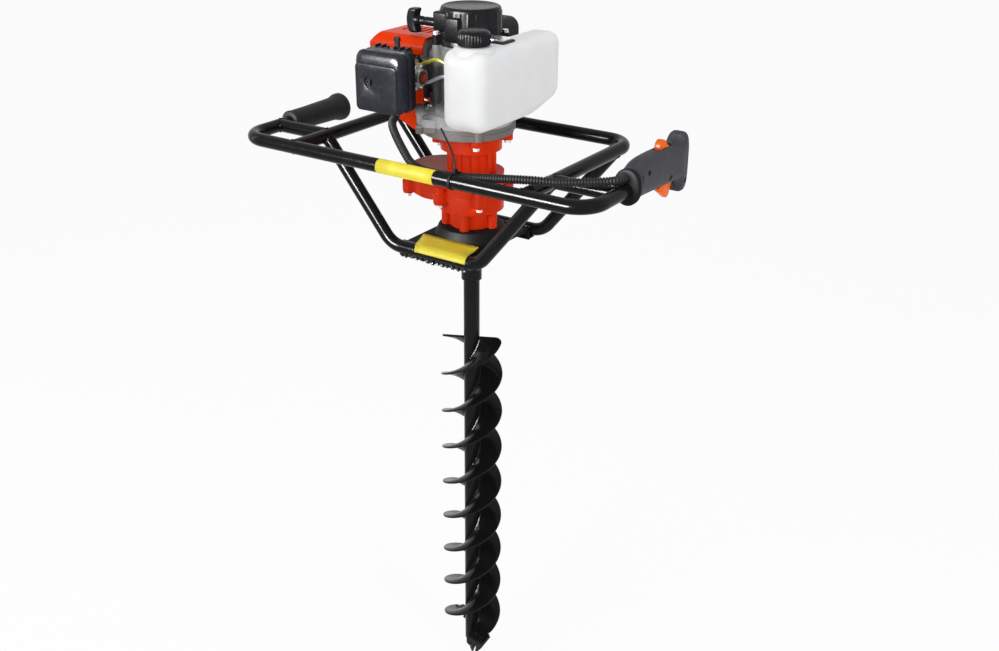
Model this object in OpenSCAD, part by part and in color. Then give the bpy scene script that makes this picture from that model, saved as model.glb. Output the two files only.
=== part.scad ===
// Petrol earth auger: a tube frame with two handles carries a small two-stroke engine,
// a two-stage reduction gearbox and a double-flight ground drill on one vertical axis.
// Millimetres, Z up, origin at the tip of the drill, X along the front rail, Y to the back.

/* [Drill] */
// Outer diameter of the drill flights
drill_d = 100; // [80:5:150]
// Length of the drill from the pilot tip to the top of its socket
drill_len = 790; // [740:10:1000]
// Rise of one flight in a full turn
flight_lead = 136.6; // [110:0.2:180]
// Thickness of a flight
flight_t = 4; // [3:0.5:6]
// Height of the top end of the flights
flight_top = 638; // [500:2:660]
// Height of the foot of the flights
flight_foot = 74; // [70:1:100]
// Outer diameter of the drill tube
drill_tube_d = 25.4; // [24:0.2:30]
// Wall of the drill tube
drill_tube_wall = 3; // [2:0.5:4]
// Outer diameter of the socket on top of the drill
socket_d = 32; // [31:0.5:40]
// Length of the socket
socket_len = 50; // [40:1:60]
// Length of the pilot point below the tube
pilot_len = 44; // [35:1:50]
// Width of a cutting blade along its edge
blade_w = 34; // [28:1:36]
// Thickness of a cutting blade
blade_t = 5; // [4:0.5:6]

/* [Frame] */
// Outer diameter of the frame tube
tube_d = 20; // [18:0.5:25]
// Wall of the frame tube
tube_wall = 1.8; // [1.2:0.1:2.5]
// Distance between the two grips
grip_span = 594; // [560:2:700]
// Distance between the two side rails
rail_span = 397; // [380:1:440]
// Front rail in front of the drill axis
front_y = 171; // [165:1:200]
// Back rail behind the drill axis
back_y = 134; // [125:1:160]
// Bend radius of the frame tube
bend_r = 38; // [30:1:45]
// Height of the rails above the cradle tubes
frame_rise = 148.5; // [130:0.5:180]
// Front cradle in front of the drill axis
front_cradle_y = 97; // [95:1:110]
// Rear cradle behind the drill axis
rear_cradle_y = 80; // [78:1:100]
// Straight length of the bottom of a cradle
cradle_w = 156; // [140:2:180]
// Brace tubes in front of the drill axis
brace_y = 93; // [85:1:110]

/* [Base plate] */
// Width of the base plate
plate_w = 130; // [124:2:150]
// Sheet thickness of the base plate
plate_t = 4; // [3:0.5:5]
// Depth of the turned-down edges
plate_lip = 19; // [14:1:22]
// Height of the dished seat under the gearbox
seat_h = 17; // [12:1:22]
// Radius of the flat top of the seat
seat_r = 48; // [47:0.5:52]

/* [Gearbox] */
// Distance between the two gear shafts
gear_centre = 50; // [50:0.5:56]
// Teeth of each pinion
pinion_teeth = 13; // [13:2:15]
// Teeth of each wheel
wheel_teeth = 67; // [67:2:69]
// Height of the tower that stands on the seat
tower_h = 27; // [26:1:34]
// Radius of the tower
tower_r = 34; // [30:1:36]
// Height of the lower case
lower_h = 25; // [24:1:32]
// Height of the upper case
upper_h = 32; // [30:1:40]
// Height of the ribbed neck
neck_h = 35; // [34:1:44]
// Radius of the neck
neck_r = 33; // [30:1:35]
// Height of the clutch bell
bell_h = 25; // [23:1:30]
// Outer radius of the clutch bell
bell_r = 46; // [46:0.5:50]
// Wall of the gear case round the wheels
case_wall = 5; // [4:0.5:7]
// Diameter of the output shaft
shaft_d = 20; // [18:0.5:21]
// Diameter of the countershaft and of the pinion shaft
pinion_shaft_d = 12; // [11:0.5:12]
// Diameter of the case, flange and plate screws
screw_d = 6; // [5:0.5:6]

/* [Engine] */
// Radius of the fan housing
fan_r = 68; // [66:1:72]
// Height of the fan housing
fan_h = 33; // [32:1:36]
// Height of the crankcase
crankcase_h = 95; // [93:1:105]
// Radius of the crankcase
crankcase_r = 38; // [36:0.5:38.5]
// Height of the cylinder axis above the foot of the crankcase
cylinder_z = 55; // [53:1:56]
// Width across the cooling fins
fin_w = 84; // [76:1:85]
// Number of cooling fins
fin_count = 9; // [7:1:11]
// Length of the cylinder with its head
cylinder_len = 76; // [72:1:80]
// Diameter of the crankshaft at the flywheel
crank_d = 15; // [13:0.5:16]
// Radius of the flywheel with its fan blades
flywheel_r = 50; // [45:1:52]
// Number of fan blades
fan_blades = 18; // [12:1:22]
// Radius of the starter cup
starter_r = 44; // [43:0.5:46]
// Height of the starter cup
starter_h = 54; // [50:1:58]
// Radius at which the starter rope is wound
rope_r = 32; // [30:0.5:34]
// Diameter of the starter rope
rope_d = 3.5; // [3:0.5:4]

/* [Fuel and air] */
// Width of the fuel tank
tank_w = 66; // [64:1:72]
// Length of the fuel tank
tank_len = 212; // [190:2:220]
// Height of the fuel tank
tank_h = 108; // [96:1:112]
// Wall of the fuel tank
tank_wall = 2.5; // [2:0.5:4]
// Diameter of the tank cap
cap_d = 46; // [40:1:50]
// Height of the tank cap
cap_h = 17; // [16:1:22]
// Width of the air filter
filter_w = 80; // [70:1:90]
// Height of the air filter
filter_h = 86; // [80:1:90]
// Depth of the air filter cover
filter_depth = 31; // [26:1:38]
// Length of the carburettor between its flanges
carb_len = 42; // [38:1:48]

/* [Handles] */
// Length of the rubber grip
grip_len = 122; // [100:2:140]
// Radius of the middle of the rubber grip
grip_r = 18; // [16:0.5:19]
// Radius of the end flange of the rubber grip
grip_flange_r = 22; // [20:0.5:24]
// Length of the throttle handle in front of its guard
handle_len = 146; // [140:2:160]
// Width of the throttle handle
handle_w = 38; // [36:1:42]
// Wall of the handle shells
handle_wall = 2.5; // [2:0.5:3]
// Opening angle of the throttle trigger
trigger_angle = 16; // [10:1:18]
// Diameter of the lever pins
pin_d = 4; // [3:0.5:5]

/* [Cable loom] */
// Outer diameter of the corrugated conduit
loom_d = 11; // [9:0.5:12]
// Depth of the corrugation
loom_rib = 0.8; // [0.5:0.1:1.2]
// Wall of the conduit under the ribs
loom_wall = 1; // [0.8:0.1:1.4]
// Number of ribs along the conduit
loom_ribs = 140; // [80:2:160]

/* [Clearances] */
// Gap of a welded or seated joint
seat_gap = 0.05; // [0.02:0.01:0.1]
// Gap of a loose seat
loose_gap = 0.3; // [0.2:0.05:0.4]
// Radial gap of a shaft or pin in its bearing
run_gap = 0.04; // [0.02:0.01:0.08]
// Radial gap of a screw in its hole
screw_gap = 0.2; // [0.1:0.05:0.3]

/* [Hidden] */
$fn = 64;

// Heights along the drill axis, from the bottom up
cradle_z = drill_len + 21;
frame_z = cradle_z + frame_rise;
plate_z = cradle_z + 5;
seat_z = plate_z + seat_h;
lower_z = seat_z + tower_h;
split_z = lower_z + lower_h;
lobe_z = split_z + upper_h;
bell_z = lobe_z + neck_h;
fan_z = bell_z + bell_h;
case_z = fan_z + fan_h;
starter_z = case_z + crankcase_h;
barrel_z = case_z + cylinder_z;

// Frame
tube_r = tube_d / 2;
rail_x = rail_span / 2;
grip_x = grip_span / 2;
plate_front = -front_cradle_y + tube_r + seat_gap;
plate_back = rear_cradle_y - tube_r - seat_gap;

// Drill
drill_r = drill_d / 2;
drill_tube_r = drill_tube_d / 2;
flight_turn = 360 / flight_lead;
flight_phase = 112.3 - 600.8 * flight_turn;
blade_tilt = 33;
blade_gap = 0.02;

// Gear train: the pinion on the clutch drum turns the countershaft, whose own pinion turns the output wheel
gear_m = 2 * gear_centre / (pinion_teeth + wheel_teeth);
gear_tip = 0.8 * gear_m;
gear_root = gear_m;
tooth_play = 0.09;
wheel_r = gear_m * wheel_teeth / 2 + gear_tip;
wheel_room = 1.6;
case_r = wheel_r + wheel_room + case_wall;
low_wheel_z = lower_z + 5;
low_wheel_h = 14;
high_wheel_z = split_z + 5;
high_wheel_h = 12;
pinion_reach = 1;
lug_r = 9;
lug_out = 6;
lug_h = 8;
lug_places = [for (s = [-1, 1])
  each [
    [-gear_centre - (case_r + lug_out) * cos(40), s * (case_r + lug_out) * sin(40)],
    [-0.4 * gear_centre, s * (case_r + lug_out)],
    [(case_r + lug_out) * cos(43), s * (case_r + lug_out) * sin(43)]]];
boss_count = 5;
boss_ring = 38;
boss_r = 7.5;
bell_bolt_ring = bell_r + 9;
bell_lug_h = 10;
bell_turn = 24;
shaft_boss_r = 17;
out_bearing_r = 21;
out_bearing_h = 12;
mid_bearing_r = 14;
mid_bearing_h = 8;

// Engine
fan_x = -6;
fan_wall = 4;
post_at = [-40, -72];
drum_r = bell_r - 6;
drum_wall = 3;
drum_gap = 1.2;
shoe_r = drum_r - drum_wall - drum_gap;
barrel_face = crankcase_r + 8;
head_x = barrel_face + cylinder_len;
port_x = barrel_face + 22;
port_face = fin_w / 2 + 4;
intake_h = 8;
carb_front = port_face + intake_h + carb_len;
shroud_in = fin_w / 2 + 3;
shroud_t = 2.5;
shroud_end = head_x + 26;
cup_wall = 3;
rope_z = starter_z + 30;
outlet_x = 38;
guide_len = 27;
lug_ring = starter_r + 6;
lug_top = 14;
engine_screw_d = 5;
tank_side = starter_r + 1 + loose_gap;
tank_step = 9;
tank_step_y = -50;
tank_x = tank_side - tank_step;
tank_y = -127;
tank_z = case_z + 3;
tank_round = 15;
neck_pos = [tank_x + tank_w / 2, tank_y + 34];
filter_z = barrel_z - 2;
filter_y = -carb_front;
base_t = 8;
primer_face = 30;
primer_travel = 4;
choke_at = [6, 31];
recess_at = -14;
neck_base = 4;
neck_rise = 12;
pad_t = 3;
bracket_y = -lug_ring * sin(45);
bracket_t = 2.5;

// Throttle handle: its axis lies above the frame tube
handle_front = -72;
handle_back = handle_front + handle_len;
handle_rise = 16;
trigger_pivot = [handle_back - 16, -8];
lock_pivot = [handle_back - 22, 24];

function unit(v) = v / norm(v);

// Places children with their Z axis from point a towards point b
module along(a, b) {
  d = unit(b - a);
  side = abs(d[2]) < 0.9 ? [0, 0, 1] : [1, 0, 0];
  u = unit(cross(side, d));
  w = cross(d, u);
  multmatrix([
    [u[0], w[0], d[0], a[0]],
    [u[1], w[1], d[1], a[1]],
    [u[2], w[2], d[2], a[2]],
    [0, 0, 0, 1]]) children();
}

// Repeats children in a ring about the Z axis
module around(count, turn = 0) {
  for (k = [0:count - 1]) rotate(turn + 360 / count * k) children();
}

module tube_section(r, wall) {
  difference() {
    circle(r);
    circle(r - wall);
  }
}

// A tube through the points with round bends; an elbow may be a little thicker and longer than its bend
module bent_tube(pts, r, wall, bend, grow = 0, more = 0) {
  n = len(pts);
  dir = [for (i = [0:n - 2]) unit(pts[i + 1] - pts[i])];
  turn = [for (i = [1:n - 2]) acos(dir[i - 1] * dir[i])];
  cut = [for (i = [0:n - 1]) i == 0 || i == n - 1 ? 0 : bend * tan(turn[i - 1] / 2)];
  for (i = [0:n - 2]) {
    a = pts[i] + cut[i] * dir[i];
    b = pts[i + 1] - cut[i + 1] * dir[i];
    along(a, b) linear_extrude(norm(b - a)) tube_section(r, wall);
  }
  for (i = [1:n - 2]) {
    d = dir[i - 1];
    inward = unit(dir[i] - (d * dir[i]) * d);
    centre = pts[i] - cut[i] * d + bend * inward;
    up = cross(d, inward);
    multmatrix([
      [-inward[0], d[0], up[0], centre[0]],
      [-inward[1], d[1], up[1], centre[1]],
      [-inward[2], d[2], up[2], centre[2]],
      [0, 0, 0, 1]])
    rotate(-more) rotate_extrude(angle = turn[i - 1] + 2 * more)
      translate([bend, 0]) tube_section(r + grow, wall + 2 * grow);
  }
}

module ring(r, hole, h) {
  linear_extrude(h) difference() {
    circle(r);
    circle(hole);
  }
}

module rounded_rect(w, h, r) {
  square([w, h - 2 * r], center = true);
  square([w - 2 * r, h], center = true);
  for (x = [-1, 1]) for (y = [-1, 1]) translate([x * (w / 2 - r), y * (h / 2 - r)]) circle(r);
}

// A hexagon screw: the shank points up from the seat at z = 0, the head and washer hang below
module hex_screw(shank_d, shank_len) {
  washer_t = 1.2;
  cylinder(d = shank_d, h = shank_len);
  translate([0, 0, -washer_t]) cylinder(d = 2 * shank_d, h = washer_t);
  translate([0, 0, -washer_t - 0.65 * shank_d]) cylinder(d = 1.75 * shank_d, h = 0.65 * shank_d, $fn = 6);
}

module pan_screw(shank_d, shank_len) {
  cylinder(d = shank_d, h = shank_len);
  translate([0, 0, -0.6 * shank_d]) difference() {
    cylinder(d = 1.8 * shank_d, h = 0.6 * shank_d);
    translate([0, 0, -1]) cylinder(d = 0.8 * shank_d, h = 1 + 0.3 * shank_d, $fn = 6);
  }
}

// Smooth curve through hand-picked points
function spline(p, i, t) =
  let (n = len(p) - 1, a = p[max(i - 1, 0)], b = p[i], c = p[i + 1], d = p[min(i + 2, n)])
  0.5 * (2 * b + (c - a) * t + (2 * a - 5 * b + 4 * c - d) * t * t + (3 * b - a - 3 * c + d) * t * t * t);
function curve(p, steps) =
  concat([for (i = [0:len(p) - 2]) for (k = [0:steps - 1]) spline(p, i, k / steps)], [p[len(p) - 1]]);

// Lengths along a curve, and the point and direction at a length
function lengths(c, i = 0, sum = 0) =
  i == len(c) - 1 ? [sum] : concat([sum], lengths(c, i + 1, sum + norm(c[i + 1] - c[i])));
function find_step(l, s, lo, hi) =
  hi - lo < 2 ? lo : let (mid = floor((lo + hi) / 2))
    l[mid] <= s ? find_step(l, s, mid, hi) : find_step(l, s, lo, mid);
function at_length(c, l, s) =
  let (i = find_step(l, s, 0, len(l) - 1)) c[i] + (c[i + 1] - c[i]) * (s - l[i]) / (l[i + 1] - l[i]);

// A ring of points round the curve at length s
function ring_points(c, l, s, section, lean) =
  let (
    total = l[len(l) - 1],
    d = unit(at_length(c, l, min(s + 1, total)) - at_length(c, l, max(s - 1, 0))),
    u = unit(cross(lean, d)),
    w = cross(d, u),
    p = at_length(c, l, s))
  [for (q = section) p + q[0] * u + q[1] * w];
function round_section(r, sides) = [for (k = [0:sides - 1]) r * [cos(360 * k / sides), sin(360 * k / sides)]];

// Triangles between rings of equal size; the rings start at point number base
function wall_faces(base, rings, sides, flip) =
  [for (i = [0:rings - 2]) for (k = [0:sides - 1])
    let (a = base + i * sides + k, b = base + i * sides + (k + 1) % sides, c = a + sides, d = b + sides)
    each flip ? [[a, b, d], [a, d, c]] : [[a, d, b], [a, c, d]]];
function cap_faces(base, sides, flip) =
  [for (k = [1:sides - 2]) flip ? [base, base + k + 1, base + k] : [base, base + k, base + k + 1]];
function rim_faces(outer, inner, sides, flip) =
  [for (k = [0:sides - 1])
    let (a = outer + k, b = outer + (k + 1) % sides, c = inner + k, d = inner + (k + 1) % sides)
    each flip ? [[a, d, b], [a, c, d]] : [[a, b, d], [a, d, c]]];

// Sharp-edged involute wheel with a tooth on the X axis
function involute(r, base_r) = r <= base_r ? 0 : let (a = acos(base_r / r)) tan(a) * 180 / PI - a;
module gear_shape(teeth) {
  pitch_r = gear_m * teeth / 2;
  base_r = pitch_r * cos(20);
  root_r = pitch_r - gear_root;
  tip_r = pitch_r + gear_tip;
  half = 90 / teeth + involute(pitch_r, base_r) - tooth_play / pitch_r * 180 / PI;
  low_r = max(base_r, root_r);
  flank = [root_r, low_r + 0.01, pitch_r, tip_r];
  polygon([for (k = [0:teeth - 1])
    each concat(
      [for (r = flank)
        let (a = 360 * k / teeth - half + involute(r, base_r)) r * [cos(a), sin(a)]],
      [for (i = [3:-1:0])
        let (r = flank[i], a = 360 * k / teeth + half - involute(r, base_r)) r * [cos(a), sin(a)]])]);
}

// The frame

module handle_bar() {
  color("#1b1b1d") translate([0, 0, frame_z]) bent_tube([
    [-grip_x, handle_front + grip_len - 2, 0],
    [-grip_x, -front_y, 0],
    [grip_x, -front_y, 0],
    [grip_x, handle_front + 80, 0]], tube_r, tube_wall, bend_r);
}

// Cylinder along X that copes a tube end against the front rail
module rail_cut(y) {
  translate([0, y, frame_z]) rotate([0, 90, 0])
    cylinder(r = tube_r + seat_gap, h = 3 * grip_x, center = true);
}

module side_rail_cut() {
  for (s = [-1, 1])
    translate([s * rail_x, 0, frame_z]) rotate([90, 0, 0])
      cylinder(r = tube_r + seat_gap, h = 600, center = true);
}

module rear_loop() {
  color("#1b1b1d") difference() {
    translate([0, 0, frame_z]) bent_tube([
      [-rail_x, -front_y, 0],
      [-rail_x, back_y, 0],
      [rail_x, back_y, 0],
      [rail_x, -front_y, 0]], tube_r, tube_wall, bend_r);
    rail_cut(-front_y);
  }
}

module cradle(y) {
  difference() {
    bent_tube([
      [-rail_x, y, frame_z],
      [-cradle_w / 2, y, cradle_z],
      [cradle_w / 2, y, cradle_z],
      [rail_x, y, frame_z]], tube_r, tube_wall, bend_r, 0.8 * seat_gap, 1);
    side_rail_cut();
    for (s = [-1, 1]) translate([s * (rail_x + grip_x) / 2, -brace_y, frame_z])
      rotate([0, 90, 0]) cylinder(r = tube_r + seat_gap, h = grip_x - rail_x, center = true);
  }
}

module front_cradle() {
  color("#1b1b1d") cradle(-front_cradle_y);
}

module rear_cradle() {
  color("#1b1b1d") cradle(rear_cradle_y);
}

module brace(side) {
  difference() {
    translate([0, 0, frame_z])
      bent_tube([[side * rail_x, -brace_y, 0], [side * grip_x, -brace_y, 0]], tube_r, tube_wall, bend_r);
    side_rail_cut();
    for (s = [-1, 1]) translate([s * grip_x, 0, frame_z]) rotate([90, 0, 0])
      cylinder(r = tube_r + seat_gap, h = 600, center = true);
  }
}

module brace_tubes() {
  color("#1b1b1d") for (side = [-1, 1]) brace(side);
}

// Pressed sheet: flat with turned-down edges and a dished seat
module base_plate() {
  depth = plate_back - plate_front;
  mid = (plate_back + plate_front) / 2;
  slope = seat_h / 2;
  color("#202022") difference() {
    union() {
      translate([0, mid, plate_z - plate_lip])
        linear_extrude(plate_lip) square([plate_w, depth], center = true);
      translate([0, 0, plate_z - 1]) rotate_extrude() polygon([
        [0, 0], [seat_r + slope + 1, 0], [seat_r + slope, 1], [seat_r + 2, seat_h],
        [seat_r, seat_h + 1], [0, seat_h + 1]]);
    }
    translate([0, mid, plate_z - plate_lip - 1]) linear_extrude(plate_lip + 1 - plate_t)
      square([plate_w - 2 * plate_t, depth - 2 * plate_t], center = true);
    translate([0, 0, plate_z - plate_t - 1]) rotate_extrude() polygon([
      [0, 0], [seat_r + slope, 0], [seat_r + slope - 4, 1], [seat_r - 2, seat_h],
      [seat_r - 2.4, seat_h + 1], [0, seat_h + 1]]);
    translate([0, 0, plate_z]) cylinder(r = shaft_d / 2 + 8, h = 2 * seat_h);
    around(boss_count) translate([boss_ring, 0, plate_z])
      cylinder(d = screw_d + 2 * screw_gap, h = 2 * seat_h);
  }
}

// Soft grip with a ring at its front and a rounded flange at its end, closed over the end of the tube
module left_grip() {
  flange = 9;
  waist = grip_r - 1.5;
  end_wall = 3;
  color("#232325") translate([-grip_x, handle_front, frame_z]) rotate([-90, 0, 0]) difference() {
    rotate_extrude() polygon([
      [0, 0], [waist - 1, 0], [waist + 0.5, 2], [waist + 0.5, flange - 3],
      [waist - 1, flange - 1], [waist - 1, flange + 1], [waist, flange + 3], [grip_r, 0.45 * grip_len],
      [grip_r, 0.7 * grip_len], [waist + 0.5, grip_len - flange - 9],
      [grip_flange_r - 2, grip_len - flange], [grip_flange_r, grip_len - flange + 3],
      [grip_flange_r, grip_len - 1], [grip_flange_r - 2, grip_len + end_wall],
      [0, grip_len + end_wall]]);
    translate([0, 0, -1]) cylinder(r = tube_r + seat_gap, h = grip_len + 1);
  }
}

// Throttle handle

// Side outline of the handle in the Y and Z plane, seen from +X
module handle_side(inset) {
  low = -16;
  high = handle_rise + 20;
  polygon([
    [handle_front + 14 + inset, low + 1 + inset], [handle_front + 60, low + inset],
    [handle_back - 40, low - 3 + inset], [handle_back - inset, low - 4 + inset],
    [handle_back - inset, high - 2 - inset], [handle_back - 50, high - inset],
    [handle_front + 70, high - inset], [handle_front + 32, high - 1.5 - inset],
    [handle_front + 14 + inset, high - 6 - inset]]);
}

// Rounded cross-section that runs the length of the handle
module handle_core(inset) {
  w = handle_w / 2 - inset;
  translate([grip_x, handle_front + 1 + inset, frame_z]) rotate([-90, 0, 0])
    linear_extrude(handle_len - 2 * inset) {
      translate([0, -handle_rise]) circle(w + 1);
      circle(w - 2);
      translate([-w + 1, -handle_rise]) square([2 * w - 2, handle_rise]);
    }
}

module handle_solid(inset) {
  intersection() {
    handle_core(inset);
    translate([grip_x, 0, frame_z]) rotate([90, 0, 90])
      linear_extrude(2 * handle_w, center = true) handle_side(inset);
  }
}

// Flat guard behind the trigger hand
module handle_guard() {
  guard_t = 12;
  translate([grip_x, handle_back, frame_z]) rotate([-90, 0, 0]) linear_extrude(guard_t) {
    translate([0, -30]) circle(handle_w / 2 - 3);
    translate([-handle_w / 2 + 3, -30]) square([handle_w - 6, 62]);
    translate([0, 32]) rounded_rect(handle_w - 6, 18, 6);
  }
}

module handle_collar() {
  collar_r = 25;
  translate([grip_x, handle_front, frame_z + 4]) rotate([-90, 0, 0]) rotate_extrude() polygon([
    [0, 0], [collar_r - 2, 0], [collar_r, 2], [collar_r, 8],
    [collar_r - 6, 15], [collar_r - 8, 22], [0, 22]]);
}

screw_spots = [[handle_front + 34, 18], [handle_back - 44, -6], [handle_back + 5, -22]];

module handle_body() {
  difference() {
    union() {
      handle_solid(0);
      handle_guard();
      handle_collar();
    }
    intersection() {
      handle_solid(handle_wall);
      translate([grip_x, handle_back - 46, frame_z]) cube([handle_w, 86, 4 * handle_rise], center = true);
    }
    // Seat of the frame tube and of the cable loom
    translate([grip_x, handle_front - 1, frame_z])
      rotate([-90, 0, 0]) cylinder(r = tube_r + seat_gap, h = 81 + 1);
    translate([grip_x - 3, handle_front - 1, frame_z + 17.5])
      rotate([-90, 0, 0]) cylinder(d = loom_d + 2 * loose_gap, h = 9);
    // Slots for the trigger and the lock lever
    translate([grip_x, trigger_pivot[0] - 18, frame_z - 22]) cube([9, 64, 30], center = true);
    translate([grip_x, lock_pivot[0] - 20, frame_z + 40]) cube([11, 56, 30], center = true);
    // Pins and screws
    for (p = [trigger_pivot, lock_pivot]) translate([grip_x, p[0], frame_z + p[1]])
      rotate([0, 90, 0]) cylinder(r = pin_d / 2 + run_gap, h = handle_w - 8, center = true);
    for (p = screw_spots) translate([grip_x, p[0], frame_z + p[1]]) rotate([0, 90, 0]) {
      cylinder(d = 3.5 + 2 * screw_gap, h = handle_w - 10, center = true);
      translate([0, 0, handle_w / 2 - 9]) cylinder(d = 8, h = handle_w);
    }
  }
}

module handle_half(side) {
  intersection() {
    handle_body();
    translate([grip_x + side * (handle_w + seat_gap / 2), handle_front - 5, frame_z - 100])
      translate([-handle_w, 0, 0]) cube([2 * handle_w, handle_len + 60, 200]);
  }
}

module handle_shell_inner() {
  color("#454548") handle_half(-1);
}

module handle_shell_outer() {
  color("#454548") handle_half(1);
}

module handle_pins() {
  color("#8d8f93") {
    for (p = screw_spots) translate([grip_x + handle_w / 2 - 9, p[0], frame_z + p[1]])
      rotate([0, -90, 0]) pan_screw(3.5, handle_w - 16);
    for (p = [trigger_pivot, lock_pivot]) translate([grip_x, p[0], frame_z + p[1]])
      rotate([0, 90, 0]) cylinder(d = pin_d, h = handle_w - 9, center = true);
  }
}

// Finger trigger that hangs from its pin through the slot below the handle
module throttle_trigger() {
  color("#f0591b") translate([grip_x, trigger_pivot[0], frame_z + trigger_pivot[1]]) rotate([90, 0, 90])
    difference() {
      linear_extrude(8, center = true) {
        circle(5);
        polygon([
          [-14, 1], [-24, -10], [-38, -13.5], [-40, -16], [-27, -24], [-12, -34],
          [-6, -31], [2, -14], [3, -2], [-4, 2]]);
      }
      cylinder(r = pin_d / 2 + run_gap, h = 20, center = true);
    }
}

// Lock lever that must be pressed down with the palm before the trigger moves
module lock_lever() {
  color("#f0591b") translate([grip_x, lock_pivot[0], frame_z + lock_pivot[1]]) rotate([90, 0, 90])
    difference() {
      linear_extrude(10, center = true) {
        circle(5);
        translate([-28, 13]) circle(10);
        polygon([[-24, 21], [-33, 18], [-35, 10], [-30, 4], [-3, -3], [2, 1], [-1, 4]]);
      }
      cylinder(r = pin_d / 2 + run_gap, h = 20, center = true);
    }
}

// Cable loom

loom_path = [
  [grip_x - 3, -66, frame_z + 17.5], [grip_x - 3, -83, frame_z + 17.5], [grip_x - 9, -98, frame_z + 18],
  [grip_x - 31, -116, frame_z + 17.5], [grip_x - 62, -138, frame_z + 17], [198, -front_y + 21, frame_z + 16.5],
  [155, -front_y + 14, frame_z + 12.5], [115, -front_y + 15, frame_z + 6.5], [70, -front_y + 16.4, frame_z + 0.5],
  [30, -front_y + 16.4, frame_z + 0.5], [6, -front_y + 18, frame_z + 6.5], [-14, -front_y + 25, frame_z + 20.5],
  [-38, -132, barrel_z - 70], [-56, -116, barrel_z - 62], [-64, -102, barrel_z - 58], [-67, -90, barrel_z - 52],
  [-68, -85, barrel_z - 38], [-68, -85, barrel_z - 18]];
loom_lean = [0.5, 0.6, -0.62];

module cable_loom() {
  sides = 8;
  c = curve(loom_path, 8);
  l = lengths(c);
  total = l[len(l) - 1];
  rings = 2 * loom_ribs;
  bore_rings = 70;
  r = loom_d / 2;
  bore = r - loom_rib - loom_wall;
  outer = [for (i = [0:rings - 1])
    let (section = round_section(i % 2 == 0 ? r : r - loom_rib, sides))
      each ring_points(c, l, total * i / (rings - 1), section, loom_lean)];
  inner = [for (i = [0:bore_rings - 1])
    each ring_points(c, l, total * i / (bore_rings - 1), round_section(bore, sides), loom_lean)];
  start = len(outer);
  color("#242426") polyhedron(concat(outer, inner), concat(
    wall_faces(0, rings, sides, false),
    wall_faces(start, bore_rings, sides, true),
    rim_faces(0, start, sides, false),
    rim_faces((rings - 1) * sides, start + (bore_rings - 1) * sides, sides, true)));
}

tie_x = 88;
tie_tail = [for (p = [[0, 5, 11.5], [-1, 7, 22.5], [-13, 16, 36.5], [-28, 25, 48.5], [-43, 34, 58.5]])
  [tie_x + p[0], -front_y + p[1], frame_z + p[2]]];

// Plastic tie round the rail and the loom, with its cut end standing up
module cable_tie() {
  band_w = 3.5;
  band_t = 1.1;
  loom_at = [-front_y + 15.8, frame_z + 2.8];
  c = curve(tie_tail, 3);
  l = lengths(c);
  total = l[len(l) - 1];
  rings = 10;
  strip = [[-1.3, -0.6], [1.3, -0.6], [1.3, 0.6], [-1.3, 0.6]];
  pts = [for (i = [0:rings - 1]) each ring_points(c, l, total * i / (rings - 1), strip, [0, 1, 0])];
  color("#1f1f20") {
    translate([tie_x - band_w / 2, 0, 0]) rotate([90, 0, 90]) linear_extrude(band_w) difference() {
      hull() {
        translate([-front_y, frame_z]) circle(tube_r + loose_gap + band_t, $fn = 32);
        translate(loom_at) circle(loom_d / 2 + 2 * loose_gap + band_t, $fn = 32);
      }
      hull() {
        translate([-front_y, frame_z]) circle(tube_r + loose_gap, $fn = 32);
        translate(loom_at) circle(loom_d / 2 + 2 * loose_gap, $fn = 32);
      }
    }
    translate([tie_x - 2.6, -front_y + 2, frame_z + tube_r + 2.5 * loose_gap]) cube([5.2, 7, 4.5]);
    polyhedron(pts, concat(
      wall_faces(0, rings, 4, false), cap_faces(0, 4, false), cap_faces((rings - 1) * 4, 4, true)));
  }
}

// Gearbox

module case_outline(grow) {
  circle(case_r + grow);
  translate([-gear_centre, 0]) circle(case_r + grow);
  translate([-gear_centre, -case_r - grow]) square([gear_centre, 2 * (case_r + grow)]);
}

// Screw ears round the parting face
module case_ears() {
  for (p = lug_places) {
    foot = p[0] < -gear_centre ? [-gear_centre, 0] : [max(p[0], -gear_centre) > 0 ? 0 : p[0], 0];
    translate(p) circle(lug_r);
    translate(p) rotate(atan2(foot[1] - p[1], foot[0] - p[0])) translate([0, -lug_r]) square([16, 2 * lug_r]);
  }
}

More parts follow.
